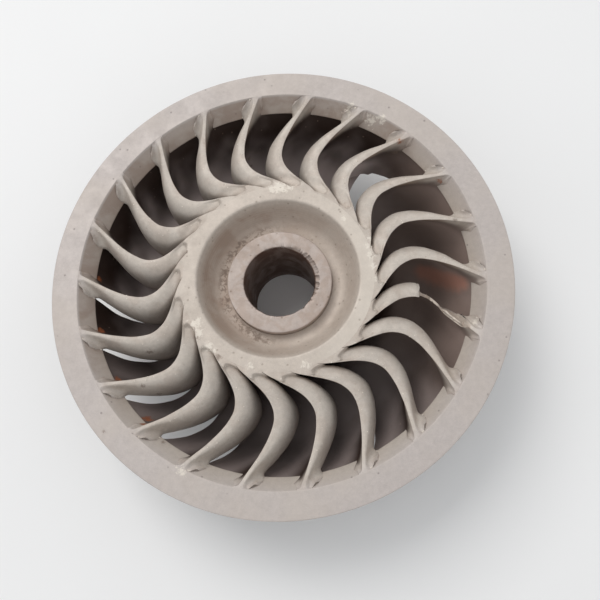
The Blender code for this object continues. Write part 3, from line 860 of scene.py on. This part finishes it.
def turned_tree(name):
    """Turn a closed profile of radius and height about the upright axis, with a slightly wavy skin."""
    tree, given, result = new_tree(name, [
        ("Steps", "Int", 360), ("Wave Height", "Float", 0.0002), ("Wave Count", "Float", 30.0),
        ("Seed", "Float", 1.0), ("Finish", "Material", None)])
    profile = given["Geometry"]
    count = place_node(tree, "GeometryNodeAttributeDomainSize", {0: profile}).outputs["Point Count"]
    rows = math_node(tree, "ADD", count, 1.0)
    grid = place_node(tree, "GeometryNodeMeshGrid", {
        "Vertices X": math_node(tree, "ADD", given["Steps"], 1.0), "Vertices Y": rows}).outputs["Mesh"]
    index = result_of(tree, "GeometryNodeInputIndex")
    step = math_node(tree, "FLOOR", math_node(tree, "DIVIDE", math_node(tree, "ADD", index, 0.5), rows))
    row = math_node(tree, "SUBTRACT", index, product(tree, step, rows))
    wrapped = math_node(tree, "MODULO", row, count)
    position = result_of(tree, "GeometryNodeInputPosition")
    sample = tree.nodes.new("GeometryNodeSampleIndex")
    sample.data_type = "FLOAT_VECTOR"
    tree.links.new(profile, sample.inputs["Geometry"])
    tree.links.new(position, sample.inputs["Value"])
    tree.links.new(wrapped, sample.inputs["Index"])
    axes = axes_of(tree, sample.outputs[0])
    turn = product(tree, math_node(tree, "DIVIDE", step, given["Steps"]), math.tau)
    spun = result_of(tree, "ShaderNodeCombineXYZ", {
        0: product(tree, axes[0], math_node(tree, "COSINE", turn)),
        1: product(tree, axes[0], math_node(tree, "SINE", turn)),
        2: axes[2]})
    shaped = result_of(tree, "GeometryNodeSetPosition", {"Geometry": grid, "Position": spun})
    closed = result_of(tree, "GeometryNodeMergeByDistance", {"Geometry": shaped, "Distance": 0.00001})
    end_tree(tree, rough_skin(tree, closed, given), given, result)


def bead_tree(name):
    """Lumpy weld bead along a path."""
    tree, given, result = new_tree(name, [
        ("Radius", "Float", 0.0012), ("Spacing", "Float", 0.0015), ("Wave Height", "Float", 0.0012),
        ("Wave Count", "Float", 320.0), ("Seed", "Float", 3.0), ("Finish", "Material", None)])
    path = result_of(tree, "GeometryNodeMeshToCurve", {0: given["Geometry"]})
    even = place_node(
        tree, "GeometryNodeResampleCurve", {"Curve": path, "Length": given["Spacing"]}, mode="LENGTH")
    ring = place_node(tree, "GeometryNodeCurvePrimitiveCircle", {"Resolution": 8, "Radius": given["Radius"]})
    swept = result_of(tree, "GeometryNodeCurveToMesh", {
        "Curve": even.outputs[0], "Profile Curve": ring.outputs[0], "Fill Caps": True})
    end_tree(tree, rough_skin(tree, swept, given), given, result)


def spatter_tree(name):
    """Small metal beads scattered over a surface."""
    tree, given, result = new_tree(name, [
        ("Density", "Float", 500.0), ("Size", "Float", 0.0007), ("Seed", "Int", 5),
        ("Finish", "Material", None)])
    points = place_node(tree, "GeometryNodeDistributePointsOnFaces", {
        "Mesh": given["Geometry"], "Density": given["Density"], "Seed": given["Seed"]})
    bead = place_node(tree, "GeometryNodeMeshIcoSphere", {"Radius": given["Size"], "Subdivisions": 2})
    scale = place_node(tree, "FunctionNodeRandomValue", {2: 0.35, 3: 1.3}, data_type="FLOAT")
    tree.links.new(given["Seed"], scale.inputs["Seed"])
    size = result_of(tree, "ShaderNodeCombineXYZ", {
        0: scale.outputs[1], 1: scale.outputs[1], 2: product(tree, scale.outputs[1], 0.6)})
    beads = result_of(tree, "GeometryNodeInstanceOnPoints", {
        "Points": points.outputs["Points"], "Instance": bead.outputs[0],
        "Rotation": points.outputs["Rotation"], "Scale": size})
    end_tree(tree, beads, given, result)


TREES = {
    "turned_piece": turned_tree,
    "weld_bead": bead_tree,
    "weld_spatter": spatter_tree,
}


def grown(name, mesh, tree_name, values):
    """Plain mesh object from a mesh and a named geometry tree with its inputs set."""
    tree = once(bpy.data.node_groups, TREES, tree_name)
    seed = bpy.data.objects.new(name + "_seed", mesh)
    bpy.context.scene.collection.objects.link(seed)
    step = seed.modifiers.new(tree.name, "NODES")
    step.node_group = tree
    for item in tree.interface.items_tree:
        if item.item_type == "SOCKET" and item.in_out == "INPUT" and item.name in values:
            step[item.identifier] = values[item.name]
    graph = bpy.context.evaluated_depsgraph_get()
    result = bpy.data.meshes.new_from_object(seed.evaluated_get(graph), depsgraph=graph)
    seed.modifiers.remove(step)
    bpy.data.objects.remove(seed, do_unlink=True)
    if not len(result.polygons):
        raise RuntimeError(name + " came out empty")
    result.name = name
    return placed(name, result)


def placed(name, mesh):
    """Link a finished mesh as an object at the origin."""
    obj = bpy.data.objects.new(name, mesh)
    bpy.context.scene.collection.objects.link(obj)
    return obj


def facing_out(mesh, weld=0.0):
    """Turn a closed mesh's faces outwards, once points closer than the weld distance are joined."""
    work = bmesh.new()
    work.from_mesh(mesh)
    if weld:
        bmesh.ops.remove_doubles(work, verts=work.verts, dist=weld)
    bmesh.ops.recalc_face_normals(work, faces=work.faces)
    work.to_mesh(mesh)
    work.free()


def smooth(mesh, degrees):
    """Shade smooth up to an angle."""
    mesh.shade_smooth()
    mesh.set_sharp_from_angle(angle=math.radians(degrees))


def settle(obj, slot, *nodes):
    """Put a finished piece on the wheel, in place of its plain nodes."""
    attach(obj, BODY)
    if nodes:
        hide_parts(*nodes)


def path_mesh(name, paths, closed=False):
    """Mesh of open or closed polylines."""
    verts = []
    edges = []
    for path in paths:
        first = len(verts)
        verts.extend(tuple(point) for point in path)
        edges.extend((first + i, first + i + 1) for i in range(len(path) - 1))
        if closed:
            edges.append((len(verts) - 1, first))
    mesh = bpy.data.meshes.new(name)
    mesh.from_pydata(verts, edges, [])
    return mesh


# Turned pieces

def rounded_corner(before, corner, after, radius, steps=4):
    """Arc-like points round a corner of a profile."""
    corner, before, after = Vector(corner), Vector(before), Vector(after)
    back, ahead = before - corner, after - corner
    reach = min(radius, 0.45 * back.length, 0.45 * ahead.length)
    start, end = corner + back.normalized() * reach, corner + ahead.normalized() * reach
    points = []
    for k in range(steps + 1):
        t = k / steps
        points.append(start * (1 - t) ** 2 + corner * 2 * t * (1 - t) + end * t ** 2)
    return points


def fine_profile(corners, spacing):
    """Closed profile of radius, height and corner round, with rounded corners and evenly split sides."""
    count = len(corners)
    rounded = []
    for i, (radius, height, turn) in enumerate(corners):
        before, after = corners[i - 1][:2], corners[(i + 1) % count][:2]
        rounded.extend(rounded_corner(before, (radius, height), after, turn))
    points = []
    for i, start in enumerate(rounded):
        end = rounded[(i + 1) % len(rounded)]
        cells = max(1, math.ceil((end - start).length / spacing))
        points.extend(start.lerp(end, k / cells) for k in range(cells))
    return [(point.x, 0.0, point.y) for point in points]


def ragged_bore(mesh):
    """Wear the bore's upper edge into a ragged line, most on one side."""
    size = sizes()
    top = depth_z(size.sleeve_depth)
    for vertex in mesh.vertices:
        x, y, z = vertex.co
        radius = math.hypot(x, y)
        across = min(1.0, 1.0 - (radius - size.bore_radius) / (BORE_REACH * MM))
        down = min(1.0, 1.0 - (top - z) / (BORE_REACH * MM))
        if across <= 0.0 or down <= 0.0:
            continue
        ring = Vector((x / radius, y / radius, 0.0))
        facing = max(0.0, ring.x * math.cos(BORE_SIDE) + ring.y * math.sin(BORE_SIDE))
        side = BORE_LEAST + facing ** BORE_LEAN
        jag = sum(
            strength * abs(noise.noise(ring * count + Vector((0.0, 0.0, offset))))
            for count, offset, strength in BORE_JAGS)
        bite = BORE_BITE * MM * side * jag * across * down
        vertex.co = (x + ring.x * bite, y + ring.y * bite, z - BORE_DROP * bite)


def within_box(mesh):
    """Keep a casting's wavy skin inside the wheel's box."""
    low, high = CAD_BOX
    for vertex in mesh.vertices:
        vertex.co = [min(max(value, least), most) for value, least, most in zip(vertex.co, low, high)]


def turned_piece(name, corners, finish, slot, node, wave, spacing=0.002, seed=1.0):
    """Turned casting in place of a plain node."""
    mesh = path_mesh(name + "_profile", [fine_profile(corners, spacing)], closed=True)
    obj = grown(name, mesh, "turned_piece", {
        "Steps": sizes().turn_steps, "Wave Height": wave, "Wave Count": TURNED_WAVES, "Seed": seed,
        "Finish": finish_of(finish)})
    within_box(obj.data)
    facing_out(obj.data, WELD_REACH)
    smooth(obj.data, TURNED_EDGE)
    settle(obj, slot, node)
    return obj


class WHEEL_OT_outer_band(bpy.types.Operator):
    """Turn the outer band with its worn edges"""

    bl_idname = "wheel.outer_band"
    bl_label = "Outer band"

    def execute(self, context):
        size = sizes()
        low = size.wall_low_radius
        depth = BAND_DEPTH * MM
        corners = (
            (size.opening_radius, depth_z(0.0), 0.0005),
            (BAND_R - EDGE_GAP, depth_z(0.0), 0.0015),
            (BAND_R - EDGE_GAP, depth_z(depth - EDGE_GAP), 0.0015),
            (low + 0.003, depth_z(depth - EDGE_GAP), 0.0012),
            (low, depth_z(WALL_DEPTH), 0.0010),
        )
        turned_piece("outer_band_casting", corners, "band_finish", "band", "outer_band", size.casting_wave)
        return {"FINISHED"}


class WHEEL_OT_hub(bpy.types.Operator):
    """Turn the hub with its recess"""

    bl_idname = "wheel.hub"
    bl_label = "Hub"

    def execute(self, context):
        size = sizes()
        floor = size.recess_depth
        corners = (
            (size.rim_inner_radius, depth_z(0.0), 0.0025),
            (size.hub_radius, depth_z(0.0), 0.0002),
            (size.hub_radius, depth_z(0.110), 0.002),
            (size.hub_radius - 0.010, depth_z(0.118), 0.004),
            (0.090, depth_z(0.126), 0.004),
            (0.090, 0.002, 0.001),
            (0.088, EDGE_GAP, 0.001),
            (size.sleeve_radius + 0.0003, EDGE_GAP, 0.0002),
            (size.sleeve_radius + 0.0003, depth_z(floor), 0.0006),
            (0.082, depth_z(floor), 0.006),
            (0.090, depth_z(floor - 0.004), 0.006),
            (0.098, depth_z(floor - 0.016), 0.008),
        )
        turned_piece("hub_casting", corners, "hub_finish", "hub", "hub", size.casting_wave, 0.0018, 2.0)
        return {"FINISHED"}


class WHEEL_OT_bore_sleeve(bpy.types.Operator):
    """Turn the bored sleeve"""

    bl_idname = "wheel.bore_sleeve"
    bl_label = "Bore sleeve"

    def execute(self, context):
        size = sizes()
        top = depth_z(size.sleeve_depth)
        corners = (
            (size.bore_radius, EDGE_GAP, 0.001),
            (size.sleeve_radius, EDGE_GAP, 0.001),
            (size.sleeve_radius, top, 0.0014),
            (size.bore_radius, top, 0.0016),
        )
        obj = turned_piece(
            "bore_sleeve_turned", corners, "sleeve_finish", "sleeve", "bore_sleeve", 0.0002, 0.0016, 3.0)
        ragged_bore(obj.data)
        return {"FINISHED"}


# Buckets

def curve_at(values, places):
    """Smooth curve through evenly numbered values, read at places of any shape."""
    values = np.asarray(values, dtype=float)
    last = len(values) - 1
    cell = np.clip(places.astype(int), 0, last - 1)
    t = places - cell
    if values.ndim > 1:
        t = t[..., None]
    before, start, end, after = (values[np.clip(cell + k, 0, last)] for k in (-1, 0, 1, 2))
    return 0.5 * (
        2.0 * start
        + (end - before) * t
        + (2.0 * before - 5.0 * start + 4.0 * end - after) * t ** 2
        + (3.0 * start - before - 3.0 * end + after) * t ** 3
    )


def smooth_step(value, low, high):
    """Smooth rise from 0 at low to 1 at high."""
    t = np.clip((value - low) / (high - low), 0.0, 1.0)
    return t * t * (3.0 - 2.0 * t)


def places_in(runs):
    """Places along evenly split runs; the last run also holds its end."""
    parts = [np.linspace(*run, endpoint=False) for run in runs[:-1]]
    return np.concatenate((*parts, np.linspace(*runs[-1])))


def unit(vectors):
    """Vectors of the same directions and length one."""
    return vectors / np.maximum(np.linalg.norm(vectors, axis=-1, keepdims=True), TINY)


def ragged(span, losses, seed, size):
    """Level lost at each station, with jagged noise where any is lost."""
    level = np.interp(span, [place for place, _ in losses], [value for _, value in losses])
    inside = np.clip(level, 0.0, 1.0) * np.clip(LAST_STATION - level, 0.0, 1.0)
    jag = sum(
        strength * np.array([noise.noise(Vector((place * count, seed, offset))) for place in span])
        for count, offset, strength in JAGS)
    return level + inside * jag * size


def section_form(deep, end_form, share, levels):
    """Section table between the deep form and the band end's form."""
    return (1.0 - share) * curve_at(deep, levels) + share * curve_at(end_form, levels)


def polar_points(radius, angle, down):
    """Points in metres from radius in mm, angle in degrees and depth in mm."""
    turn = np.radians(angle)
    return np.stack((radius * np.cos(turn) * MM, radius * np.sin(turn) * MM, depth_z(down * MM)), axis=-1)


def side_place(fall, turn, out, below, reach, span, levels):
    """Radius, angle and depth of the points of one side of a bucket."""
    ridge = curve_at(RIDGE, span)
    lip = curve_at(LIP, span)
    longer = reach * smooth_step(span, *REACH_START) * (1.0 - 0.5 * smooth_step(span, *REACH_END))
    lip[:, 1] -= np.degrees(longer / lip[:, 0])
    radius = ridge[:, :1] + (lip[:, :1] - ridge[:, :1]) * curve_at(INWARD, levels)
    angle = ridge[:, 1:2] + (lip[:, 1:2] - ridge[:, 1:2]) * turn + np.degrees(out / radius)
    down = ridge[:, 2:3] + (lip[:, 2:3] - ridge[:, 2:3]) * fall + below
    return radius, angle, np.maximum(down, 0.0)


def column(values, span):
    """Values of a table at each station, as a column."""
    return curve_at(values, span)[:, None]


def hollow_surface(span, levels, reach):
    """Points of the hollow side."""
    share = np.clip(column(BAND_FORM, span), 0.0, 1.0)
    fall = section_form(HOLLOW_FALL, END_HOLLOW_FALL, share, levels)
    turn = section_form(HOLLOW_TURN, END_HOLLOW_TURN, share, levels)
    out = section_form(HOLLOW_OUT, END_HOLLOW_OUT, share, levels) * column(SWELL, span)
    return polar_points(*side_place(fall, turn, out, 0.0, reach, span, levels))


def fingertip(radius, out, down, levels):
    """Depth of the back near the hub: flush with the rim, then a rounded step down onto the finger."""
    across = (out - TIP_LAND) / TIP_WIDTH
    edge = TIP_RADIUS + TIP_CURVE * (across / TIP_APEX - 1.0) ** 2
    past = smooth_step(radius, edge + TIP_EDGE[0], edge + TIP_EDGE[1])
    off_land = smooth_step(out, TIP_LAND + TIP_SIDE[0], TIP_LAND + TIP_SIDE[1])
    fade = 1.0 - smooth_step(radius, *TIP_FADE)
    upper = 1.0 - smooth_step(levels, *TIP_LEVELS)
    shaped = down * (past + (1.0 - past) * (1.0 - upper)) + TIP_STEP * past * off_land * fade * upper
    return np.where(radius < TIP_END, shaped, down)


def back_surface(span, levels, reach):
    """Points of the rounded back."""
    share = np.clip(column(BAND_FORM, span), 0.0, 1.0)
    root = np.clip(column(ROOT_FORM, span), 0.0, 1.0)
    fall = section_form(BACK_FALL, END_BACK_FALL, share, levels)
    fall = fall + root * (curve_at(ROOT_BACK_FALL, levels) - fall)
    turn = section_form(BACK_TURN, END_BACK_TURN, share, levels)
    bulge = section_form(BACK_REACH, END_BACK_REACH, share, levels)
    bulge = bulge + root * (curve_at(ROOT_BACK_REACH, levels) - bulge)
    land = column(LAND, span)
    out = (land + (1.0 - land) * bulge) * column(BACK_OUT, span)
    radius, angle, down = side_place(fall, turn, out, curve_at(BACK_BELOW, levels), reach, span, levels)
    return polar_points(radius, angle, fingertip(radius, out, down, levels))


def surface_normals(points, side):
    """Unit normals of a grid of points, facing out of the bucket on the given side."""
    along = np.gradient(points, axis=0)
    down = np.gradient(points, axis=1)
    return unit(np.cross(along, down) * side)


def fillet_push(distance, radius):
    """How far a surface stands out where it runs into a wall at a distance."""
    inside = np.clip(radius - distance, 0.0, radius)
    return radius - np.sqrt(np.maximum(radius ** 2 - inside ** 2, 0.0))


def wall_gap(points):
    """Distance from the band's inner wall at each point, inwards."""
    size = sizes()
    depth = np.clip((FACE_Z - points[..., 2]) / WALL_DEPTH, 0.0, 1.0)
    wall = size.opening_radius + (size.wall_low_radius - size.opening_radius) * depth
    return wall - np.hypot(points[..., 0], points[..., 1])


def with_fillets(points, side, fillet, fade):
    """Flare one side of a bucket into the band's wall; the flare runs out between the two fade depths."""
    depth = FACE_Z - points[..., 2]
    round_here = fillet * (1.0 - smooth_step(depth, *fade)) + LEAST_FILLET
    push = fillet_push(wall_gap(points) * FILLET_GAP, round_here)
    normal = surface_normals(points, side)
    normal[..., 2] *= np.clip(depth / FILLET_TOP, 0.0, 1.0)
    return points + normal * push[..., None]


def land_rows(hollow_top, back_top, torn):
    """Rows across the land: a worn round on the hollow's edge, then flat, or broken down where it is torn."""
    size = sizes()
    across = back_top - hollow_top
    width = np.maximum(np.linalg.norm(across, axis=-1, keepdims=True), TINY)
    drop = np.array((0.0, 0.0, 1.0)) * size.edge_round
    rows = []
    for share, fall in ROUND_ROWS:
        rows.append(hollow_top + across * np.minimum(share * size.edge_round / width, 0.3) - drop * fall)
    shelf = hollow_top + unit(across * (1.0, 1.0, 0.0)) * TORN_WIDTH * MM
    for share in FLAT_ROWS:
        flat = hollow_top + across * share
        broken = shelf + (back_top - shelf) * (share - FLAT_ROWS[0]) / (1.0 - FLAT_ROWS[0])
        rows.append(flat + (broken - flat) * torn[:, None])
    return rows


def bucket_grid(index):
    """Closed sections of a bucket from hub to band, how far round each point is, and where it is torn."""
    size = sizes()
    span, levels = places_in(STATION_RUNS), places_in(LEVEL_RUNS)
    top = np.zeros_like(span)
    floor = np.full_like(span, LAST_STATION)
    if index == BROKEN_TOP:
        top = ragged(span, LOST_EDGE, 3.0, 0.35)
    if index == BROKEN_FLOOR:
        floor = ragged(span, LOST_FLOOR, 5.0, 0.30)
    torn = np.clip(top / 2.0, 0.0, 1.0)
    reach = OPEN_SLITS.get(index, LIP_REACH)
    share = levels[None, :] / LAST_STATION
    hollow_levels = top[:, None] + (floor - top)[:, None] * share
    back_top = np.minimum(top + TORN_REACH * torn, floor - 1.0)
    back_levels = back_top[:, None] + (floor - back_top)[:, None] * share
    hollow = hollow_surface(span, hollow_levels, reach)
    back = back_surface(span, back_levels, reach)
    hollow = with_fillets(hollow, -1.0, size.hollow_fillet, HOLLOW_FADE)
    back = with_fillets(back, 1.0, size.back_fillet, BACK_FADE)
    land = land_rows(hollow[:, 0], back[:, 0], torn)
    lip = 0.5 * (hollow[:, -1] + back[:, -1])
    lip[:, 2] -= LIP_ROUND
    loops = [hollow[:, j] for j in range(len(levels) - 1, 0, -1)] + land
    loops += [back[:, j] for j in range(len(levels))] + [lip]
    hollow_place = HOLLOW_END - HOLLOW_END * share[0, :0:-1]
    back_place = BACK_START + HOLLOW_END * share[0]
    place = np.concatenate((hollow_place, np.linspace(*LAND_SPAN, len(land)), back_place, [1.0]))
    grid = wavy(np.stack(loops, axis=1), index + 1.0)
    first_land = len(levels) - 1
    patches = np.zeros((len(span), len(loops)), dtype=int)
    patches[:, first_land:first_land + len(land)] = (torn > 0.5)[:, None]
    patches[:, -2:] = (floor < LAST_STATION - 0.5)[:, None]
    patches[:, 0] = patches[:, -1]
    return grid, place, span / LAST_STATION, patches


def wavy(grid, seed):
    """Waves of the cast skin, and ends kept under the faces that they run into."""
    size = sizes()
    shift = Vector([seed * part for part in SKIN_SHIFT])
    along = np.gradient(grid, axis=0)
    around = np.roll(grid, -1, axis=1) - np.roll(grid, 1, axis=1)
    normal = unit(np.cross(around, along))
    flat = grid.reshape(-1, 3)
    wave = np.zeros(len(flat))
    for k, point in enumerate(flat):
        place = Vector(point)
        for count, strength in SKIN_WAVES:
            wave[k] += strength * noise.noise(place * count + shift)
    moved = flat + normal.reshape(-1, 3) * (wave * size.casting_wave * SKIN_STRENGTH)[:, None]
    radius = np.hypot(moved[:, 0], moved[:, 1])
    in_band = np.clip((radius - size.opening_radius) / SEAT_RUN, 0.0, 1.0)
    moved[:, 2] = np.minimum(moved[:, 2], FACE_Z - FLUSH_DROP - in_band * UNDER_FACE)
    moved = moved.reshape(grid.shape)
    inner = moved[0]
    inner[:, :2] *= (size.hub_radius - HUB_SEAT) / np.hypot(inner[:, 0], inner[:, 1])[:, None]
    return moved


def at_bucket(points, index):
    """Points turned about the wheel's axis to the place of a bucket."""
    turn = math.radians(FIRST_TIP_ANGLE + index * PITCH)
    spun = points.copy()
    spun[..., 0] = points[..., 0] * math.cos(turn) - points[..., 1] * math.sin(turn)
    spun[..., 1] = points[..., 0] * math.sin(turn) + points[..., 1] * math.cos(turn)
    return spun


def bucket_mesh(name, index):
    """One bucket's closed mesh, turned to its place, with its section map and torn patches."""
    grid, share, span, patches = bucket_grid(index)
    rows, count = grid.shape[:2]
    spun = at_bucket(grid, index)
    faces = []
    maps = []
    finish = []
    for i in range(rows - 1):
        for j in range(count):
            k = (j + 1) % count
            end = share[k] if k else 1.0
            faces.append((i * count + j, i * count + k, (i + 1) * count + k, (i + 1) * count + j))
            maps.extend(((span[i], share[j]), (span[i], end), (span[i + 1], end), (span[i + 1], share[j])))
            finish.append(int(min(patches[i][j], patches[i][k])))
    for row in (0, rows - 1):
        faces.append(tuple(row * count + j for j in range(count)))
        maps.extend((span[row], share[j]) for j in range(count))
        finish.append(0)
    mesh = bpy.data.meshes.new(name)
    mesh.from_pydata([tuple(point) for point in spun.reshape(-1, 3)], [], faces)
    layer = mesh.uv_layers.new(name="section")
    layer.data.foreach_set("uv", np.array(maps, dtype=np.float32).ravel())
    mesh.materials.append(finish_of("bucket_finish"))
    mesh.materials.append(finish_of("torn_finish"))
    mesh.polygons.foreach_set("material_index", finish)
    facing_out(mesh)
    return mesh


class WHEEL_OT_buckets(bpy.types.Operator):
    """Cast the twenty-two buckets, two of them broken"""

    bl_idname = "wheel.buckets"
    bl_label = "Buckets"

    def execute(self, context):
        for index in range(BUCKETS):
            node = "bucket_%02d" % (index + 1)
            obj = placed(node + "_casting", bucket_mesh(node + "_casting", index))
            smooth(obj.data, BUCKET_EDGE)
            settle(obj, "bucket", node)
        return {"FINISHED"}


# Weld beads and spatter

def wall_path(grid, rows):
    """Points down one side of a bucket where it meets the band's wall."""
    path = []
    for j in rows:
        distance = wall_gap(grid[:, j])
        near = np.nonzero(distance < 0.0)[0]
        if not len(near) or near[0] == 0:
            continue
        i = near[0]
        share = distance[i - 1] / max(distance[i - 1] - distance[i], TINY)
        point = grid[i - 1, j] + (grid[i, j] - grid[i - 1, j]) * share
        depth = FACE_Z - point[2]
        if depth > WALL_DEPTH:
            break
        if depth > BEAD_START:
            path.append(point)
    return np.array(path)


def lumpy_bead(name, paths, form, finish, slot):
    """Lumpy bead along paths, of a form given by radius, lump height, lump count and seed."""
    radius, wave, count, seed = form
    obj = grown(name, path_mesh(name + "_paths", paths), "weld_bead", {
        "Radius": radius * MM, "Wave Height": wave * MM, "Wave Count": count, "Seed": seed,
        "Finish": finish_of(finish)})
    settle(obj, slot)
    return obj


class WHEEL_OT_weld_beads(bpy.types.Operator):
    """Lay lumpy weld beads where the buckets' backs meet the band, and lumps on the torn edge"""

    bl_idname = "wheel.weld_beads"
    bl_label = "Weld beads"

    def execute(self, context):
        count = len(places_in(LEVEL_RUNS))
        first_back = count + LAND_ROWS - 1
        paths = []
        for index in range(BUCKETS):
            path = wall_path(bucket_grid(index)[0], range(first_back, first_back + count))
            if len(path) > 2:
                paths.append(at_bucket(path, index))
        smooth(lumpy_bead("wall_weld_beads", paths, BEAD, "weld_finish", "band").data, BEAD_EDGE)
        grid, _, span, _ = bucket_grid(BROKEN_TOP)
        start, end = LUMPY_STATIONS
        torn = (span * LAST_STATION > start) & (span * LAST_STATION < end)
        path = at_bucket(grid[torn, count - 1 + len(ROUND_ROWS)], BROKEN_TOP)
        lumpy_bead("torn_edge_lumps", [path], LUMPS, "torn_finish", "bucket")
        return {"FINISHED"}


def spatter_field(name):
    """Faces that spatter lands on: the buckets' upper backs and lands, and the hub's rim."""
    size = sizes()
    first = len(places_in(LEVEL_RUNS)) - 1
    verts = []
    faces = []
    for index in range(BUCKETS):
        grid = at_bucket(bucket_grid(index)[0], index)
        patch = grid[SPATTER_STATIONS, first:first + LAND_ROWS + SPATTER_LEVELS:2]
        rows, count = patch.shape[:2]
        start = len(verts)
        verts.extend(tuple(point) for point in patch.reshape(-1, 3))
        for i in range(rows - 1):
            for j in range(count - 1):
                corner = start + i * count + j
                faces.append((corner, corner + 1, corner + count + 1, corner + count))
    start = len(verts)
    for step in range(SPATTER_STEPS):
        turn = math.tau * step / SPATTER_STEPS
        for radius in (size.rim_inner_radius + SPATTER_RING, size.hub_radius + SPATTER_RING):
            verts.append((radius * math.cos(turn), radius * math.sin(turn), depth_z(UNDER_FACE)))
        after = (step + 1) % SPATTER_STEPS
        faces.append((start + 2 * step, start + 2 * step + 1, start + 2 * after + 1, start + 2 * after))
    mesh = bpy.data.meshes.new(name)
    mesh.from_pydata(verts, [], faces)
    return mesh


class WHEEL_OT_spatter(bpy.types.Operator):
    """Scatter weld spatter over the buckets and the hub's rim"""

    bl_idname = "wheel.spatter"
    bl_label = "Weld spatter"

    def execute(self, context):
        obj = grown("weld_spatter_beads", spatter_field("spatter_field"), "weld_spatter", {
            "Density": SPATTER_DENSITY, "Size": sizes().spatter_size, "Seed": 8,
            "Finish": finish_of("weld_finish")})
        for vertex in obj.data.vertices:
            vertex.co.z = min(vertex.co.z, FACE_Z - FLUSH_DROP / 2.0)
        obj.data.shade_smooth()
        settle(obj, "bucket")
        return {"FINISHED"}


# Stage

def add_window():
    """Soft square light from a high window."""
    place, aim, size, power, colour = WINDOW
    light = bpy.data.lights.new("high_window", "AREA")
    light.size = size
    light.energy = power
    light.color = colour
    obj = bpy.data.objects.new("high_window", light)
    obj.location = place
    obj.rotation_mode = "QUATERNION"
    obj.rotation_quaternion = (Vector(aim) - Vector(place)).to_track_quat("-Z", "Y")
    bpy.context.scene.collection.objects.link(obj)


def add_floor():
    """Wide pale floor disc."""
    work = bmesh.new()
    bmesh.ops.create_circle(work, cap_ends=True, segments=96, radius=FLOOR_RADIUS)
    mesh = bpy.data.meshes.new("floor")
    work.to_mesh(mesh)
    work.free()
    mesh.materials.append(finish_of("floor_finish"))
    floor = placed("floor", mesh)
    floor.location.z = -FLOOR_DROP


def add_camera():
    """Camera at the photograph's place."""
    data = bpy.data.cameras.new("camera")
    data.lens = CAMERA_LENS
    data.sensor_width = CAMERA_LENS
    data.clip_start = 0.01
    camera = bpy.data.objects.new("camera", data)
    bpy.context.scene.collection.objects.link(camera)
    back = (CAMERA_PLACE - CAMERA_AIM).normalized()
    up = back.cross(Vector((1.0, 0.0, 0.0))).normalized()
    axes = Matrix((up.cross(back), up, back)).transposed()
    camera.matrix_world = Matrix.Translation(CAMERA_PLACE) @ axes.to_4x4()
    bpy.context.scene.camera = camera


class WHEEL_OT_stage(bpy.types.Operator):
    """Set the pale floor, the soft light and the camera"""

    bl_idname = "wheel.stage"
    bl_label = "Stage"

    def execute(self, context):
        scene = context.scene
        scene.view_settings.view_transform = "Standard"
        add_floor()
        add_camera()
        world = bpy.data.worlds.new("daylight")
        world.use_nodes = True
        sky = world.node_tree.nodes["Background"]
        sky.inputs["Color"].default_value = SKY_COLOUR
        sky.inputs["Strength"].default_value = SKY
        scene.world = world
        add_window()
        return {"FINISHED"}


class WHEEL_PT_panel(bpy.types.Panel):
    """Panel that lists the wheel's steps, sizes and colours."""

    bl_label = "Turbine wheel"
    bl_idname = "WHEEL_PT_panel"
    bl_space_type = "VIEW_3D"
    bl_region_type = "UI"
    bl_category = "Turbine wheel"

    def draw(self, context):
        for name in STEPS:
            self.layout.operator("wheel." + name)
        for group in (context.scene.wheel_sizes, context.scene.wheel_colours):
            box = self.layout.box()
            for name in group.bl_rna.properties.keys():
                if name not in ("rna_type", "name"):
                    box.prop(group, name)


STEPS = ("stage", "outer_band", "hub", "bore_sleeve", "buckets", "weld_beads", "spatter")
CLASSES = (
    WheelSizes,
    WheelColours,
    WHEEL_OT_stage,
    WHEEL_OT_outer_band,
    WHEEL_OT_hub,
    WHEEL_OT_bore_sleeve,
    WHEEL_OT_buckets,
    WHEEL_OT_weld_beads,
    WHEEL_OT_spatter,
    WHEEL_PT_panel,
)


def register():
    """Register the classes and the scene's settings."""
    for kind in CLASSES:
        bpy.utils.register_class(kind)
    bpy.types.Scene.wheel_sizes = PointerProperty(type=WheelSizes)
    bpy.types.Scene.wheel_colours = PointerProperty(type=WheelColours)


def unregister():
    """Take the settings and classes out again."""
    del bpy.types.Scene.wheel_colours
    del bpy.types.Scene.wheel_sizes
    for kind in reversed(CLASSES):
        bpy.utils.unregister_class(kind)


def main():
    """Build the finished wheel."""
    register()
    for name in STEPS:
        getattr(bpy.ops.wheel, name)()


if __name__ == "__main__":
    main()
